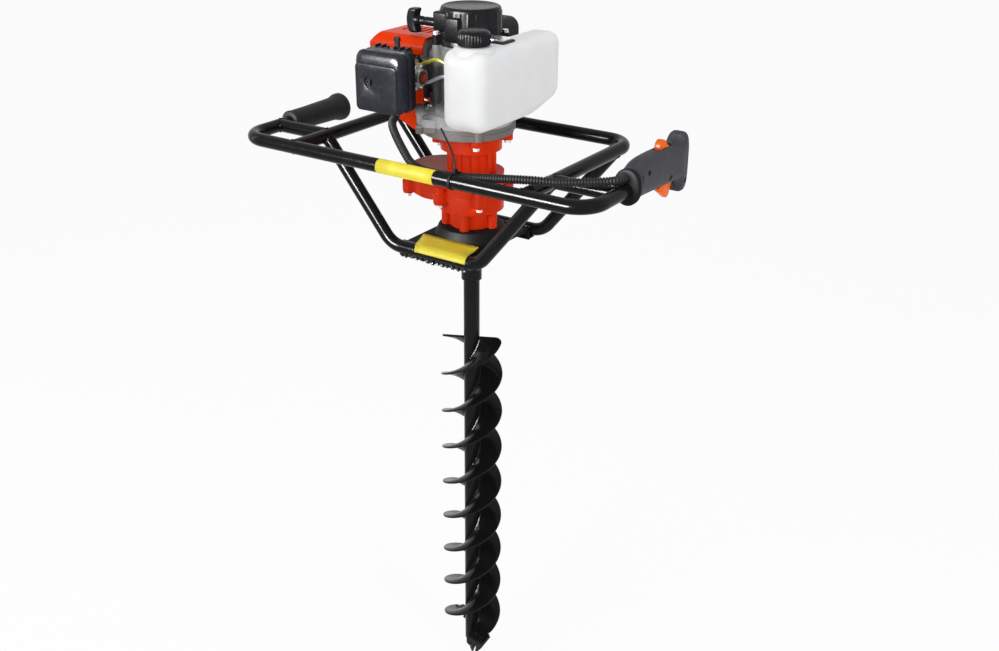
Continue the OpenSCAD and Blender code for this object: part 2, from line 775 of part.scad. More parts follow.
module gearbox_lower_case() {
  floor_t = 4;
  color("#e8431a") difference() {
    union() {
      translate([0, 0, split_z - lug_h]) linear_extrude(lug_h) {
        case_outline(0);
        case_ears();
      }
      // Deep round part for the output wheel, and the shallow lobe beside it
      translate([0, 0, lower_z]) cylinder(r = case_r, h = lower_h);
      translate([-gear_centre, 0, split_z - lug_h - 4]) cylinder(r = case_r - 6, h = 5);
      translate([-gear_centre, 0, lower_z - 6]) cylinder(r = shaft_boss_r, h = lower_h);
      // Tower with its screw bosses
      translate([0, 0, seat_z]) cylinder(r = tower_r, h = tower_h + 1);
      around(boss_count) translate([boss_ring, 0, seat_z]) cylinder(r = boss_r, h = tower_h + 1);
      for (p = lug_places) translate([p[0], p[1], split_z - lug_h - 3]) cylinder(r = lug_r - 1, h = 4);
    }
    // Room for the output wheel and the countershaft pinion
    translate([0, 0, low_wheel_z - pinion_reach]) cylinder(r = wheel_r + wheel_room, h = lower_h);
    translate([-gear_centre, 0, low_wheel_z - pinion_reach])
      cylinder(r = gear_m * pinion_teeth / 2 + gear_tip + wheel_room, h = lower_h);
    translate([-gear_centre, 0, split_z - 3]) cylinder(r = wheel_r + wheel_room, h = 4);
    // Bearing seats of the output shaft and of the countershaft
    translate([0, 0, seat_z + floor_t]) cylinder(r = out_bearing_r, h = tower_h + 2);
    translate([0, 0, seat_z - 1]) cylinder(r = shaft_d / 2 + 1, h = tower_h);
    translate([-gear_centre, 0, lower_z - 4]) cylinder(r = mid_bearing_r, h = 11);
    around(boss_count) translate([boss_ring, 0, seat_z - 1])
      cylinder(d = screw_d + 2 * screw_gap, h = 17);
    for (p = lug_places)
      translate([p[0], p[1], split_z - 2 * lug_h]) cylinder(d = screw_d + 2 * screw_gap, h = 3 * lug_h);
  }
}

module gearbox_upper_case() {
  roof_t = 5;
  color("#e8431a") difference() {
    union() {
      translate([0, 0, split_z]) linear_extrude(lug_h) {
        case_outline(0);
        case_ears();
      }
      translate([0, 0, split_z]) linear_extrude(upper_h) case_outline(0);
      for (p = lug_places) translate([p[0], p[1], split_z]) cylinder(r = lug_r - 1, h = lug_h + 8);
      // Neck with upright ribs
      translate([0, 0, lobe_z - 1]) cylinder(r = neck_r, h = neck_h + 2);
      around(boss_count, bell_turn) translate([neck_r - 1, 0, lobe_z - 1])
        cylinder(r = 6, h = neck_h + 2);
      around(boss_count, bell_turn + 36) translate([0, -2, lobe_z - 1])
        cube([neck_r + 4, 4, neck_h + 2]);
      // Clutch bell with its flange ears
      translate([0, 0, bell_z]) cylinder(r = bell_r, h = bell_h);
      around(boss_count, bell_turn) translate([0, 0, fan_z - bell_lug_h]) linear_extrude(bell_lug_h) {
        translate([bell_bolt_ring, 0]) circle(lug_r - 1.5);
        translate([bell_r - 8, -lug_r + 1.5]) square([17, 2 * lug_r - 3]);
      }
    }
    // Room for the first wheel and its pinion
    translate([-gear_centre, 0, split_z - 1]) cylinder(r = wheel_r + wheel_room, h = upper_h + 1 - roof_t);
    translate([0, 0, split_z - 1]) cylinder(r = mid_bearing_r + 2, h = upper_h + 1 - roof_t);
    // Bearing seats of the pinion shaft and the countershaft
    translate([0, 0, lobe_z - roof_t - 1]) cylinder(r = mid_bearing_r, h = neck_h + roof_t);
    translate([0, 0, bell_z + 3]) cylinder(r = drum_r + drum_gap + 0.3, h = bell_h);
    translate([0, 0, bell_z - 5]) cylinder(r = mid_bearing_r - 2, h = 12);
    translate([-gear_centre, 0, lobe_z - roof_t - 1]) cylinder(r = pinion_shaft_d / 2 + run_gap, h = 4.5);
    for (p = lug_places)
      translate([p[0], p[1], split_z - 1]) cylinder(d = screw_d + 2 * screw_gap, h = lug_h + 6);
    around(boss_count, bell_turn) translate([bell_bolt_ring, 0, bell_z])
      cylinder(d = screw_d + 2 * screw_gap, h = 2 * bell_h);
  }
}

// Hexagon bolts of the seat, the parting face and the clutch flange
module gearbox_bolts() {
  color("#c3c5c8") {
    around(boss_count) translate([boss_ring, 0, seat_z - plate_t]) hex_screw(screw_d, plate_t + 14);
    for (p = lug_places) translate([p[0], p[1], split_z - lug_h - 3]) hex_screw(screw_d, lug_h + 3 + 12);
    around(boss_count, bell_turn)
      translate([bell_bolt_ring, 0, fan_z - bell_lug_h]) hex_screw(screw_d, bell_lug_h + fan_wall - 1);
  }
}

// Ball bearings as rings: x place, foot, shaft diameter, outer radius, height
bearing_list = [
  [0, seat_z + 4, shaft_d, out_bearing_r, out_bearing_h],
  [0, low_wheel_z - pinion_reach - out_bearing_h, shaft_d, out_bearing_r, out_bearing_h],
  [-gear_centre, lower_z - 4, pinion_shaft_d, mid_bearing_r, mid_bearing_h],
  [0, lobe_z - 4, pinion_shaft_d, mid_bearing_r, mid_bearing_h],
  [0, bell_z - 6 - mid_bearing_h, pinion_shaft_d, mid_bearing_r, mid_bearing_h]];

module gear_bearings() {
  color("#b4b6ba") for (b = bearing_list)
    translate([b[0], 0, b[1]]) ring(b[3] - run_gap, b[2] / 2 + run_gap, b[4]);
}

// Drill and output shaft

module output_shaft() {
  color("#a9abaf") difference() {
    translate([0, 0, drill_len - socket_len + 6])
      cylinder(d = shaft_d, h = low_wheel_z + low_wheel_h + 1 - (drill_len - socket_len + 6));
    translate([0, 0, drill_len - socket_len / 2])
      rotate([90, 0, 0]) cylinder(d = screw_d + 2 * screw_gap, h = 2 * shaft_d, center = true);
  }
}

module output_gear() {
  color("#94969b") translate([0, 0, low_wheel_z]) difference() {
    union() {
      linear_extrude(low_wheel_h) gear_shape(wheel_teeth);
    }
    translate([0, 0, -1]) cylinder(r = shaft_d / 2 + seat_gap, h = low_wheel_h + 2);
  }
}

// Countershaft with its own pinion cut from the bar
module countershaft() {
  color("#a9abaf") translate([-gear_centre, 0, 0]) {
    translate([0, 0, lower_z - 3.5]) cylinder(d = pinion_shaft_d, h = lobe_z - 2 - (lower_z - 3.5));
    translate([0, 0, low_wheel_z - 0.5]) linear_extrude(low_wheel_h + 1) gear_shape(pinion_teeth);
  }
}

module countershaft_gear() {
  color("#94969b") translate([-gear_centre, 0, high_wheel_z]) linear_extrude(high_wheel_h) difference() {
    gear_shape(wheel_teeth);
    circle(pinion_shaft_d / 2 + seat_gap);
  }
}

module drive_pinion() {
  color("#a9abaf") {
    translate([0, 0, high_wheel_z - 0.5]) linear_extrude(high_wheel_h + 1) gear_shape(pinion_teeth);
    translate([0, 0, high_wheel_z]) cylinder(d = pinion_shaft_d, h = bell_z + 6 - high_wheel_z);
  }
}

// Clutch drum: an open cup with a hub on the pinion shaft
module clutch_drum() {
  color("#7d7f84") translate([0, 0, bell_z + 3.5]) difference() {
    cylinder(r = drum_r, h = bell_h - 4);
    translate([0, 0, 3]) cylinder(r = drum_r - drum_wall, h = bell_h);
    translate([0, 0, -1]) cylinder(r = pinion_shaft_d / 2 + seat_gap, h = bell_h);
  }
}

// Drill tube with the wider socket welded on its top end
module auger_tube() {
  foot = pilot_len - 6;
  color("#141416") difference() {
    union() {
      translate([0, 0, foot]) cylinder(r = drill_tube_r, h = drill_len - socket_len - foot + 1);
      translate([0, 0, drill_len - socket_len]) rotate_extrude() polygon([
        [0, 0], [socket_d / 2 - 1, 0], [socket_d / 2, 1], [socket_d / 2, socket_len - 1],
        [socket_d / 2 - 1, socket_len], [0, socket_len]]);
    }
    translate([0, 0, foot - 1])
      cylinder(r = drill_tube_r - drill_tube_wall, h = drill_len - socket_len - foot - 4);
    translate([0, 0, drill_len - socket_len + 5]) cylinder(r = shaft_d / 2 + seat_gap, h = socket_len);
    translate([0, 0, drill_len - socket_len / 2])
      rotate([90, 0, 0]) cylinder(d = screw_d + 2 * screw_gap, h = 2 * socket_d, center = true);
  }
}

// One flight: a thin band wound round the tube
module flight(turn) {
  steps = ceil((flight_top - flight_foot) / flight_lead * 36);
  inner = drill_tube_r + 2 * seat_gap;
  pts = [for (i = [0:steps])
    let (z = flight_foot + (flight_top - flight_foot) * i / steps, a = z * flight_turn + flight_phase + turn)
    each [
      [inner * cos(a), inner * sin(a), z],
      [drill_r * cos(a), drill_r * sin(a), z],
      [drill_r * cos(a), drill_r * sin(a), z + flight_t],
      [inner * cos(a), inner * sin(a), z + flight_t]]];
  sides = [for (i = [0:steps - 1])
    let (p = 4 * i, q = p + 4)
    each [
      [p, p + 1, q + 1], [p, q + 1, q], [p + 1, p + 2, q + 2], [p + 1, q + 2, q + 1],
      [p + 2, p + 3, q + 2], [p + 3, q + 3, q + 2], [p + 3, p, q], [p + 3, q, q + 3]]];
  polyhedron(pts, concat(sides, cap_faces(0, 4, true), cap_faces(steps * 4, 4, false)));
}

// Places children at the foot of a flight: X runs outward, Y along the cutting direction, Z up
module at_foot(turn) {
  rotate(flight_foot * flight_turn + flight_phase + turn) translate([0, 0, flight_foot])
    rotate([blade_tilt, 0, 0]) children();
}

module auger_flights() {
  color("#141416") for (turn = [0, 180]) {
    flight(turn);
    at_foot(turn) difference() {
      translate([drill_tube_r + 3, -20, 0]) cube([drill_r - drill_tube_r - 5, 22, flight_t]);
      for (x = [0.35, 0.75]) translate([drill_tube_r + x * (drill_r - drill_tube_r), -12, -1])
        cylinder(d = screw_d + 2 * screw_gap, h = flight_t + 2);
    }
  }
}

// Toothed blades bolted under the feet of the flights
module cutting_blades() {
  from = drill_tube_r + 2;
  to = drill_r + 2;
  reach = 30;
  color("#1b1b1d") for (turn = [0, 180]) at_foot(turn) translate([0, 0, -blade_t - blade_gap])
    difference() {
      linear_extrude(blade_t) polygon([
        [from, -2], [from, -reach], [from + 9, -reach - 8], [from + 14, -reach + 1],
        [from + 22, -reach - 9], [from + 27, -reach], [to - 3, -reach - 11],
        [to, -reach], [to, -5], [to - 6, -2]]);
      for (x = [0.35, 0.75]) translate([drill_tube_r + x * (drill_r - drill_tube_r), -12, -1])
        cylinder(d = screw_d + 2 * screw_gap, h = blade_t + 2);
    }
}

module blade_bolts() {
  color("#2a2a2c") for (turn = [0, 180]) at_foot(turn) for (x = [0.35, 0.75])
    translate([drill_tube_r + x * (drill_r - drill_tube_r), -12, 0]) {
      translate([0, 0, -blade_t - blade_gap]) hex_screw(screw_d, blade_t + flight_t + 2);
      translate([0, 0, flight_t + blade_gap]) ring(0.85 * screw_d, screw_d / 2 - 0.2, 3);
    }
}

// Hardened point that centres the drill
module pilot_point() {
  plug_r = drill_tube_r - drill_tube_wall - seat_gap;
  color("#1b1b1d") difference() {
    union() {
      rotate_extrude() polygon([
        [0, 0], [2, 3], [6, 16], [11, 24], [11, pilot_len - 6 - seat_gap],
        [plug_r, pilot_len - 6 - seat_gap], [plug_r, pilot_len + 16], [0, pilot_len + 16]]);
    }
    for (s = [0, 180])
      rotate(s + 20) translate([2.5, -20, -1]) rotate([0, 14, 0]) cube([14, 20, pilot_len - 16]);
  }
}

module coupling_pin() {
  reach = socket_d / 2 + 5;
  color("#9b9da1") translate([0, 0, drill_len - socket_len / 2]) rotate([90, 0, 0]) {
    cylinder(d = screw_d, h = 2 * reach, center = true);
    translate([0, 0, socket_d / 2 + 0.6]) cylinder(d = 1.75 * screw_d, h = 4, $fn = 6);
    translate([0, 0, -socket_d / 2 - 4.6]) cylinder(d = 1.75 * screw_d, h = 4, $fn = 6);
  }
}

// Engine

module fan_outline(r) {
  translate([fan_x, 0]) circle(r);
}

module fan_housing() {
  rim = 9;
  color("#8f9093") difference() {
    union() {
      translate([0, 0, fan_z]) linear_extrude(fan_h) fan_outline(fan_r - 1);
      translate([0, 0, fan_z]) linear_extrude(rim) fan_outline(fan_r);
      around(4, 45) translate([fan_r - 8, 0, fan_z]) cylinder(r = 7, h = fan_h);
      // Post at the front corner that carries the shroud
      translate([post_at[0], post_at[1], fan_z + 6]) {
        cylinder(r = 6.5, h = 12);
        translate([0, 0, 16]) cylinder(r = 5, h = 14);
        translate([0, 0, 28]) cylinder(r = 6.5, h = 14);
        rotate(62) translate([0, -3, 0]) cube([24, 6, fan_h - 8]);
        rotate(20) translate([0, -3, 1]) cube([24, 6, fan_h - 13]);
        cylinder(r = 4, h = 40);
      }
    }
    translate([0, 0, fan_z + fan_wall]) linear_extrude(fan_h - 2 * fan_wall) difference() {
      fan_outline(fan_r - 1 - fan_wall);
      around(4, 45) translate([fan_r - 8, 0]) circle(8.5);
    }
    translate([0, 0, fan_z - 1]) cylinder(r = drum_r + drum_gap + 0.3, h = fan_wall + 2);
    translate([0, 0, fan_z + fan_h - fan_wall - 1]) cylinder(r = crank_d / 2 + 6, h = fan_wall + 2);
    around(boss_count, bell_turn) translate([bell_bolt_ring, 0, fan_z - 1])
      cylinder(d = screw_d + 2 * screw_gap, h = 2 * fan_wall);
    // Air slots of the fan in the floor
    for (k = [18, 36, 54]) around(boss_count, bell_turn + k)
      translate([drum_r + 4, -2, fan_z - 1]) cube([6, 4, fan_wall + 2]);
    around(4, 45) translate([fan_r - 8, 0, case_z - 14]) cylinder(d = engine_screw_d + 2 * screw_gap, h = 20);
  }
}

module flywheel() {
  disc_z = fan_z + fan_wall + 1.5;
  disc_t = 7;
  blade_h = fan_h - 2 * fan_wall - disc_t - 3;
  color("#9a9ca0") translate([0, 0, disc_z]) difference() {
    union() {
      cylinder(r = flywheel_r, h = disc_t);
      cylinder(r = crank_d / 2 + 7, h = disc_t + blade_h);
      around(fan_blades) translate([0.55 * flywheel_r, 0, disc_t - 1])
        rotate(25) translate([0, -1.2, 0]) cube([0.42 * flywheel_r, 2.4, blade_h + 1]);
    }
    translate([0, 0, -1]) cylinder(r = crank_d / 2 + seat_gap, h = disc_t + blade_h + 2);
  }
}

// Two weighted shoes that swing out against the drum at speed
module clutch_shoes() {
  shoe_z = bell_z + 8;
  shoe_h = fan_z + 2 - shoe_z;
  color("#6c6e72") around(2) {
    translate([0, 0, shoe_z]) linear_extrude(shoe_h) difference() {
      circle(shoe_r);
      circle(13);
      translate([-60, -60]) square([120, 62]);
    }
    translate([0.65 * shoe_r, 0.45 * shoe_r, shoe_z + 1])
      cylinder(r = 4, h = fan_z + fan_wall + 1.5 - seat_gap - shoe_z - 1);
  }
}

module crankshaft() {
  web_r = 27;
  throw_r = 16;
  color("#a2a4a8") {
    translate([0, 0, fan_z - 2]) cylinder(d = crank_d, h = starter_z + 4 - fan_z);
    for (s = [-1, 1]) translate([0, 0, barrel_z + s * 12 - 5]) cylinder(r = web_r, h = 10);
    translate([-throw_r, 0, barrel_z - 10]) cylinder(r = 6, h = 20);
  }
}

module crankcase() {
  chamber_r = 31;
  color("#a6a8ab") difference() {
    union() {
      // Round body on a flared foot
      translate([0, 0, case_z]) rotate_extrude() polygon([
        [0, 0], [fan_r - 12, 0], [fan_r - 12, 5], [crankcase_r + 4, 16], [crankcase_r, 24],
        [crankcase_r, crankcase_h - 8], [crankcase_r + 2, crankcase_h - 6],
        [crankcase_r + 2, crankcase_h], [0, crankcase_h]]);
      around(4, 45) {
        translate([fan_r - 8, 0, case_z]) cylinder(r = 7, h = 6);
        translate([crankcase_r, -7, case_z]) cube([fan_r - 8 - crankcase_r, 14, 6]);
        translate([lug_ring, 0, case_z]) cylinder(r = 6, h = crankcase_h);
        translate([crankcase_r - 8, -4, case_z]) cube([lug_ring - crankcase_r + 8, 8, crankcase_h]);
      }
      // Face for the cylinder
      translate([-barrel_face, -33, barrel_z - 33]) cube([barrel_face, 66, 66]);
      translate([-barrel_face - 5, -33, case_z]) cube([barrel_face + 5, 66, cylinder_z - 31]);
    }
    translate([0, 0, barrel_z - 24]) cylinder(r = chamber_r, h = 48);
    translate([-barrel_face - 1, 0, barrel_z]) rotate([0, 90, 0]) cylinder(r = 22, h = barrel_face);
    translate([0, 0, case_z - 1]) cylinder(r = crank_d / 2 + run_gap, h = crankcase_h + 2);
    around(4, 45) {
      translate([fan_r - 8, 0, case_z - 1]) cylinder(d = engine_screw_d + 2 * screw_gap, h = 8);
      translate([fan_r - 8, 0, case_z + 6]) cylinder(r = 6, h = 12);
      translate([lug_ring, 0, starter_z - 14]) cylinder(d = engine_screw_d + 2 * screw_gap, h = 20);
    }
    // Flat beside the tank
    translate([tank_side - loose_gap, -150, case_z + 2.5]) cube([60, 300, crankcase_h]);
  }
}

// Finned cylinder with its head, intake face to the front and exhaust face to the back
module cylinder_barrel() {
  barrel_r = 27;
  fin_t = 2.2;
  pitch = (cylinder_len - 14) / fin_count;
  color("#b3b5b8") translate([-barrel_face - seat_gap, 0, barrel_z]) rotate([0, -90, 0]) difference() {
    union() {
      linear_extrude(8) rounded_rect(60, 60, 8);
      cylinder(r = barrel_r, h = cylinder_len - 8);
      for (k = [0:fin_count - 1]) translate([0, 0, 12 + pitch * k])
        linear_extrude(fin_t) rounded_rect(fin_w, fin_w, 14);
      translate([0, 0, cylinder_len - 12]) linear_extrude(12) rounded_rect(50, 50, 10);
      translate([0, 0, port_x - barrel_face])
        rotate([90, 0, 0]) linear_extrude(2 * port_face, center = true) rounded_rect(36, 30, 5);
    }
    translate([0, 0, -1]) cylinder(r = 22, h = cylinder_len - 11);
    translate([0, 0, port_x - barrel_face])
      rotate([90, 0, 0]) cylinder(r = 9, h = 3 * port_face, center = true);
    translate([0, 0, cylinder_len - 20]) cylinder(r = 7 + screw_gap, h = 30);
  }
}

module spark_plug() {
  color("#d8d8d4") translate([-head_x - seat_gap, 0, barrel_z]) rotate([0, -90, 0]) {
    translate([0, 0, -9]) cylinder(r = 7, h = 10);
    cylinder(r = 11, h = 7, $fn = 6);
    translate([0, 0, 6]) cylinder(r = 5, h = 16);
  }
}

module plug_boot() {
  color("#1d1d1f") translate([-head_x - seat_gap, 0, barrel_z]) rotate([0, -90, 0]) difference() {
    rotate_extrude() polygon([[0, 9], [9, 9], [10, 12], [10, 24], [8, 28], [8, 36], [0, 36]]);
    cylinder(r = 5 + seat_gap, h = 22 + seat_gap);
  }
}

// Outline of the shroud from the side, drawn down to the fan housing, and its rounded roof
module shroud_block(inset, past) {
  top = shroud_in + shroud_t - inset;
  foot = -barrel_z + fan_z - 6;
  intersection() {
    translate([0, 0, barrel_z]) rotate([90, 0, 0]) linear_extrude(2 * top, center = true) polygon([
      [-barrel_face - 6 + past, foot - past], [-shroud_end + 34, foot + 26 - past],
      [-shroud_end + 12, -62 - past], [-shroud_end + inset, -48], [-shroud_end + inset, top - 14],
      [-shroud_end + 12, top], [-barrel_face - 6 + past, top]]);
    translate([-shroud_end - 10, 0, barrel_z + top - 100]) rotate([90, 0, 90])
      linear_extrude(2 * shroud_end) rounded_rect(2 * top, 200, 16 - inset);
  }
}

// Moulded cover that leads the fan air over the fins, with louvres on top
module cylinder_shroud() {
  top = shroud_in + shroud_t;
  color("#e8431a") difference() {
    shroud_block(0, 0);
    shroud_block(shroud_t, 6);
    // Clear of the fan housing and its foot
    translate([0, 0, fan_z - 40]) linear_extrude(40 + fan_h + 7) fan_outline(fan_r + loose_gap);
    // Windows for the intake, the exhaust and the plug
    for (s = [-1, 1]) translate([-port_x, s * top, barrel_z]) cube([44, 12, 48], center = true);
    translate([-shroud_end, 0, barrel_z]) rotate([0, 90, 0]) cylinder(r = 16, h = 12, center = true);
    // Louvres
    for (k = [0:5]) translate([-barrel_face - 20 - 11 * k, -6, barrel_z + top - 6]) cube([5, 36, 12]);
  }
}

module intake_block() {
  color("#2b2b2d") translate([-port_x, -port_face - seat_gap, barrel_z]) rotate([90, 0, 0])
    linear_extrude(intake_h - 2 * seat_gap) difference() {
      rounded_rect(30, 40, 5);
      circle(9);
    }
}

// Diaphragm carburettor: flanged body, throttle barrel and primer base
module carburettor() {
  color("#b9bbbd") translate([-port_x, -port_face - intake_h, barrel_z]) rotate([90, 0, 0]) difference() {
    union() {
      linear_extrude(5) rounded_rect(30, 40, 5);
      translate([0, 0, 4]) linear_extrude(carb_len - 8) rounded_rect(30, 34, 4);
      translate([0, 0, carb_len - 5]) linear_extrude(5) rounded_rect(34, 40, 5);
      translate([0, 0, carb_len / 2]) rotate([0, 90, 0]) translate([0, 0, 14])
        cylinder(r = 15, h = primer_face - 14);
      translate([primer_face - 1, 0, carb_len / 2]) rotate([0, 90, 0])
        ring(12, 9 + loose_gap, primer_travel + 4);
      translate([0, 16, carb_len / 2]) rotate([-90, 0, 0]) cylinder(r = 9, h = 8);
    }
    translate([0, 0, -1]) cylinder(r = 9, h = carb_len + 2);
  }
}

// Soft pump bulb on the side of the carburettor
module primer_bulb() {
  r = 9;
  color("#b5392c")
    translate([-port_x + primer_face + seat_gap, -port_face - intake_h - carb_len / 2, barrel_z])
      rotate([0, 90, 0]) rotate_extrude() polygon(concat(
        [[0, primer_travel], [r, primer_travel]],
        [for (a = [0:15:75]) [r * cos(a), primer_travel + 3 + 6 * sin(a)]],
        [[0, primer_travel + 9]]));
}

// Throttle lever on top of the carburettor, turned by the cable
module throttle_arm() {
  color("#8d8f93") translate([-port_x, -port_face - intake_h - carb_len / 2, barrel_z + 24 + seat_gap])
    linear_extrude(3) {
      circle(7);
      translate([0, -4]) square([18, 8]);
      translate([18, 0]) circle(4);
    }
}

// Air filter

module filter_base() {
  color("#1c1c1e") translate([-port_x, filter_y - seat_gap, filter_z]) rotate([90, 0, 0]) difference() {
    union() {
      linear_extrude(base_t) rounded_rect(filter_w, filter_h, 12);
      // Ribbed ledge along the top
      translate([-filter_w / 2 + 10, filter_h / 2 - 4, -8]) cube([filter_w - 20, 4, 10]);
      for (k = [0:5])
        translate([-filter_w / 2 + 12 + k * (filter_w - 26) / 5, filter_h / 2 - 1, -8]) cube([2, 4, 12]);
    }
    translate([0, 0, -1]) cylinder(r = 9, h = base_t + 2);
    translate([recess_at, 0, -1]) cylinder(d = engine_screw_d + 2 * screw_gap, h = base_t + 2);
    translate([0, 0, 3]) linear_extrude(base_t) rounded_rect(filter_w - 12, filter_h - 12, 8);
    // Slot and seat of the choke lever
    translate([choke_at[0] - 22, filter_h / 2 - 6, -9]) cube([30, 12, 8.7]);
    translate([choke_at[0], choke_at[1], -1]) cylinder(r = 3 + run_gap, h = 10);
  }
}

module filter_element() {
  color("#6f6a4a") translate([-port_x, filter_y - seat_gap - 3 - seat_gap, filter_z]) rotate([90, 0, 0])
    linear_extrude(filter_depth - 10) difference() {
      rounded_rect(filter_w - 16, filter_h - 16, 6);
      translate([choke_at[0], choke_at[1]]) circle(6);
      translate([recess_at, 0]) circle(engine_screw_d);
    }
}

// Cover with a stepped rim, a raised front panel and a screw recess
module filter_cover() {
  step = 5;
  recess_r = 8;
  color("#1f1f22") translate([-port_x, filter_y - base_t - 2 * seat_gap, filter_z]) rotate([90, 0, 0])
    difference() {
      union() {
        linear_extrude(7) rounded_rect(filter_w, filter_h, 12);
        translate([0, 0, 6]) linear_extrude(filter_depth - 15)
          rounded_rect(filter_w - step, filter_h - step, 11);
        translate([0, 0, filter_depth - 10]) linear_extrude(6) rounded_rect(filter_w, filter_h, 12);
        translate([0, 0, filter_depth - 5]) linear_extrude(3) rounded_rect(filter_w - 4, filter_h - 4, 11);
        translate([-2, -4, filter_depth - 3]) linear_extrude(3) rounded_rect(filter_w - 16, filter_h - 20, 9);
      }
      translate([0, 0, -1]) linear_extrude(filter_depth - 4)
        rounded_rect(filter_w - 12, filter_h - 12, 8);
      translate([recess_at, 0, filter_depth - 3]) cylinder(r = recess_r, h = 4);
      translate([recess_at, 0, 0]) cylinder(d = engine_screw_d + 2 * screw_gap, h = filter_depth);
    }
}

// Choke lever that swings beside the top of the filter
module choke_lever() {
  color("#28282a") translate([-port_x + choke_at[0], filter_y - seat_gap, filter_z + choke_at[1]])
    rotate([90, 0, 0]) {
      translate([0, 0, -6.5]) cylinder(r = 3, h = 9);
      translate([0, 0, -6.5]) linear_extrude(4) {
        circle(5);
        translate([-3.5, 0]) square([7, 24]);
        translate([0, 24]) circle(4.5);
      }
    }
}

// Recoil starter

module starter_housing() {
  lip = 6;
  color("#1e1e20") difference() {
    union() {
      translate([0, 0, starter_z + seat_gap]) rotate_extrude() polygon([
        [0, 0], [starter_r + 1, 0], [starter_r + 1, lip], [starter_r, lip + 2],
        [starter_r - 0.5, starter_h - 4], [starter_r - 2, starter_h - 1.2],
        [starter_r - 5, starter_h], [0, starter_h]]);
      // Rope outlet block
      translate([-outlet_x, -rope_r - 9, starter_z + 20]) cube([outlet_x, 18, 27]);
      translate([-12, -rope_r - 18, starter_z + 8]) cube([25, 22, 35]);
      translate([-outlet_x - guide_len, -rope_r, rope_z]) rotate([0, 90, 0])
        cylinder(r = 6.5, h = guide_len + 1);
      around(4, 45) translate([0, 0, starter_z + seat_gap]) {
        translate([lug_ring, 0, 0]) cylinder(r = 6, h = lug_top - seat_gap);
        translate([lug_ring - 14, -6, 0]) cube([14, 12, lug_top - seat_gap]);
      }
      // Upright ribs round the cup
      around(12, 12) translate([starter_r - 3, -2, starter_z + 10]) cube([4, 4, starter_h - 20]);
    }
    translate([0, 0, starter_z - 1]) rotate_extrude() polygon([
      [8, 0], [starter_r - cup_wall - 9, 0], [starter_r - cup_wall - 9, 19], [starter_r - cup_wall, 19],
      [starter_r - cup_wall, starter_h - cup_wall + 1], [8, starter_h - cup_wall + 1]]);
    translate([0, 0, starter_z - 1]) cylinder(r = crank_d / 2 + 2, h = 10);
    // Rope bore through the block
    translate([-outlet_x - guide_len - 1, -rope_r, rope_z])
      rotate([0, 90, 0]) cylinder(r = rope_d / 2 + 0.5, h = outlet_x + guide_len);
    around(4, 45) translate([lug_ring, 0, starter_z - 1])
      cylinder(d = engine_screw_d + 2 * screw_gap, h = lug_top + 2);
  }
}

module starter_pulley() {
  pulley_h = 8;
  color("#3a3a3c") translate([0, 0, rope_z - pulley_h / 2]) rotate_extrude() polygon([
    [8 + run_gap, 0], [rope_r + 3, 0], [rope_r + 3, 1.5], [rope_r - rope_d / 2 - 0.3, 2.5],
    [rope_r - rope_d / 2 - 0.3, pulley_h - 2.5], [rope_r + 3, pulley_h - 1.5],
    [rope_r + 3, pulley_h], [8 + run_gap, pulley_h]]);
}

module starter_rope() {
  color("#d8d5cc") translate([-outlet_x - guide_len - 2, -rope_r, rope_z])
    rotate([0, 90, 0]) cylinder(d = rope_d, h = outlet_x + guide_len);
}

// T grip of the starter, curved for the fingers
module starter_handle() {
  color("#222224") translate([-outlet_x - guide_len - loose_gap, -rope_r, rope_z]) difference() {
    union() {
      rotate([0, -90, 0]) rotate_extrude() polygon([[0, 0], [6, 0], [8, 4], [8, 10], [0, 10]]);
      rotate([90, 0, 0]) linear_extrude(15, center = true) polygon([
        [-5, -13], [-9, -19], [-17, -20], [-21, -15], [-18, -6], [-17, 0], [-18, 6], [-21, 15],
        [-17, 20], [-9, 19], [-5, 13]]);
    }
    rotate([0, -90, 0]) translate([0, 0, -1]) cylinder(r = rope_d / 2 + 0.3, h = 3);
  }
}

// Fuel tank

// Rounded box with the lower back corner drawn up: crossed prisms round all its edges
module tank_block(inset) {
  r = tank_round - inset;
  w = tank_w - 2 * inset;
  l = tank_len - 2 * inset;
  h = tank_h - 2 * inset;
  slope = 14;
  turn_y = tank_len / 2 - 72;
  step_y = tank_step_y - tank_y - tank_len / 2 - inset;
  translate([tank_x + tank_w / 2, tank_y + tank_len / 2, tank_z + tank_h / 2]) intersection() {
    linear_extrude(h + 2, center = true) difference() {
      rounded_rect(w, l, r);
      // Set back beside the engine, clear of the screws in its foot
      translate([-tank_w, step_y]) square([tank_w / 2 + tank_round + 0.5 + inset, tank_len]);
    }
    rotate([90, 0, 0]) linear_extrude(l + 2, center = true) rounded_rect(w, h, r);
    rotate([90, 0, 90]) linear_extrude(w + 2, center = true) rounded_rect(l, h, r);
    translate([0, turn_y, -tank_h / 2]) rotate([90 + slope, 0, 0]) translate([0, inset, 0])
      linear_extrude(3 * l, center = true) translate([0, h]) rounded_rect(w, 2 * h, r);
  }
}

module fuel_tank() {
  color([0.95, 0.95, 0.93, 0.9]) difference() {
    union() {
      tank_block(0);
      translate([neck_pos[0], neck_pos[1], tank_z + tank_h - 6])
        cylinder(r = cap_d / 2 - 6, h = 6 + neck_base + neck_rise);
      translate([neck_pos[0], neck_pos[1], tank_z + tank_h - 6])
        cylinder(r1 = cap_d / 2 + 8, r2 = cap_d / 2 + 1, h = 6 + neck_base);
    }
    tank_block(tank_wall);
    translate([neck_pos[0], neck_pos[1], tank_z + tank_h - 12]) cylinder(r = cap_d / 2 - 9, h = 50);
  }
}

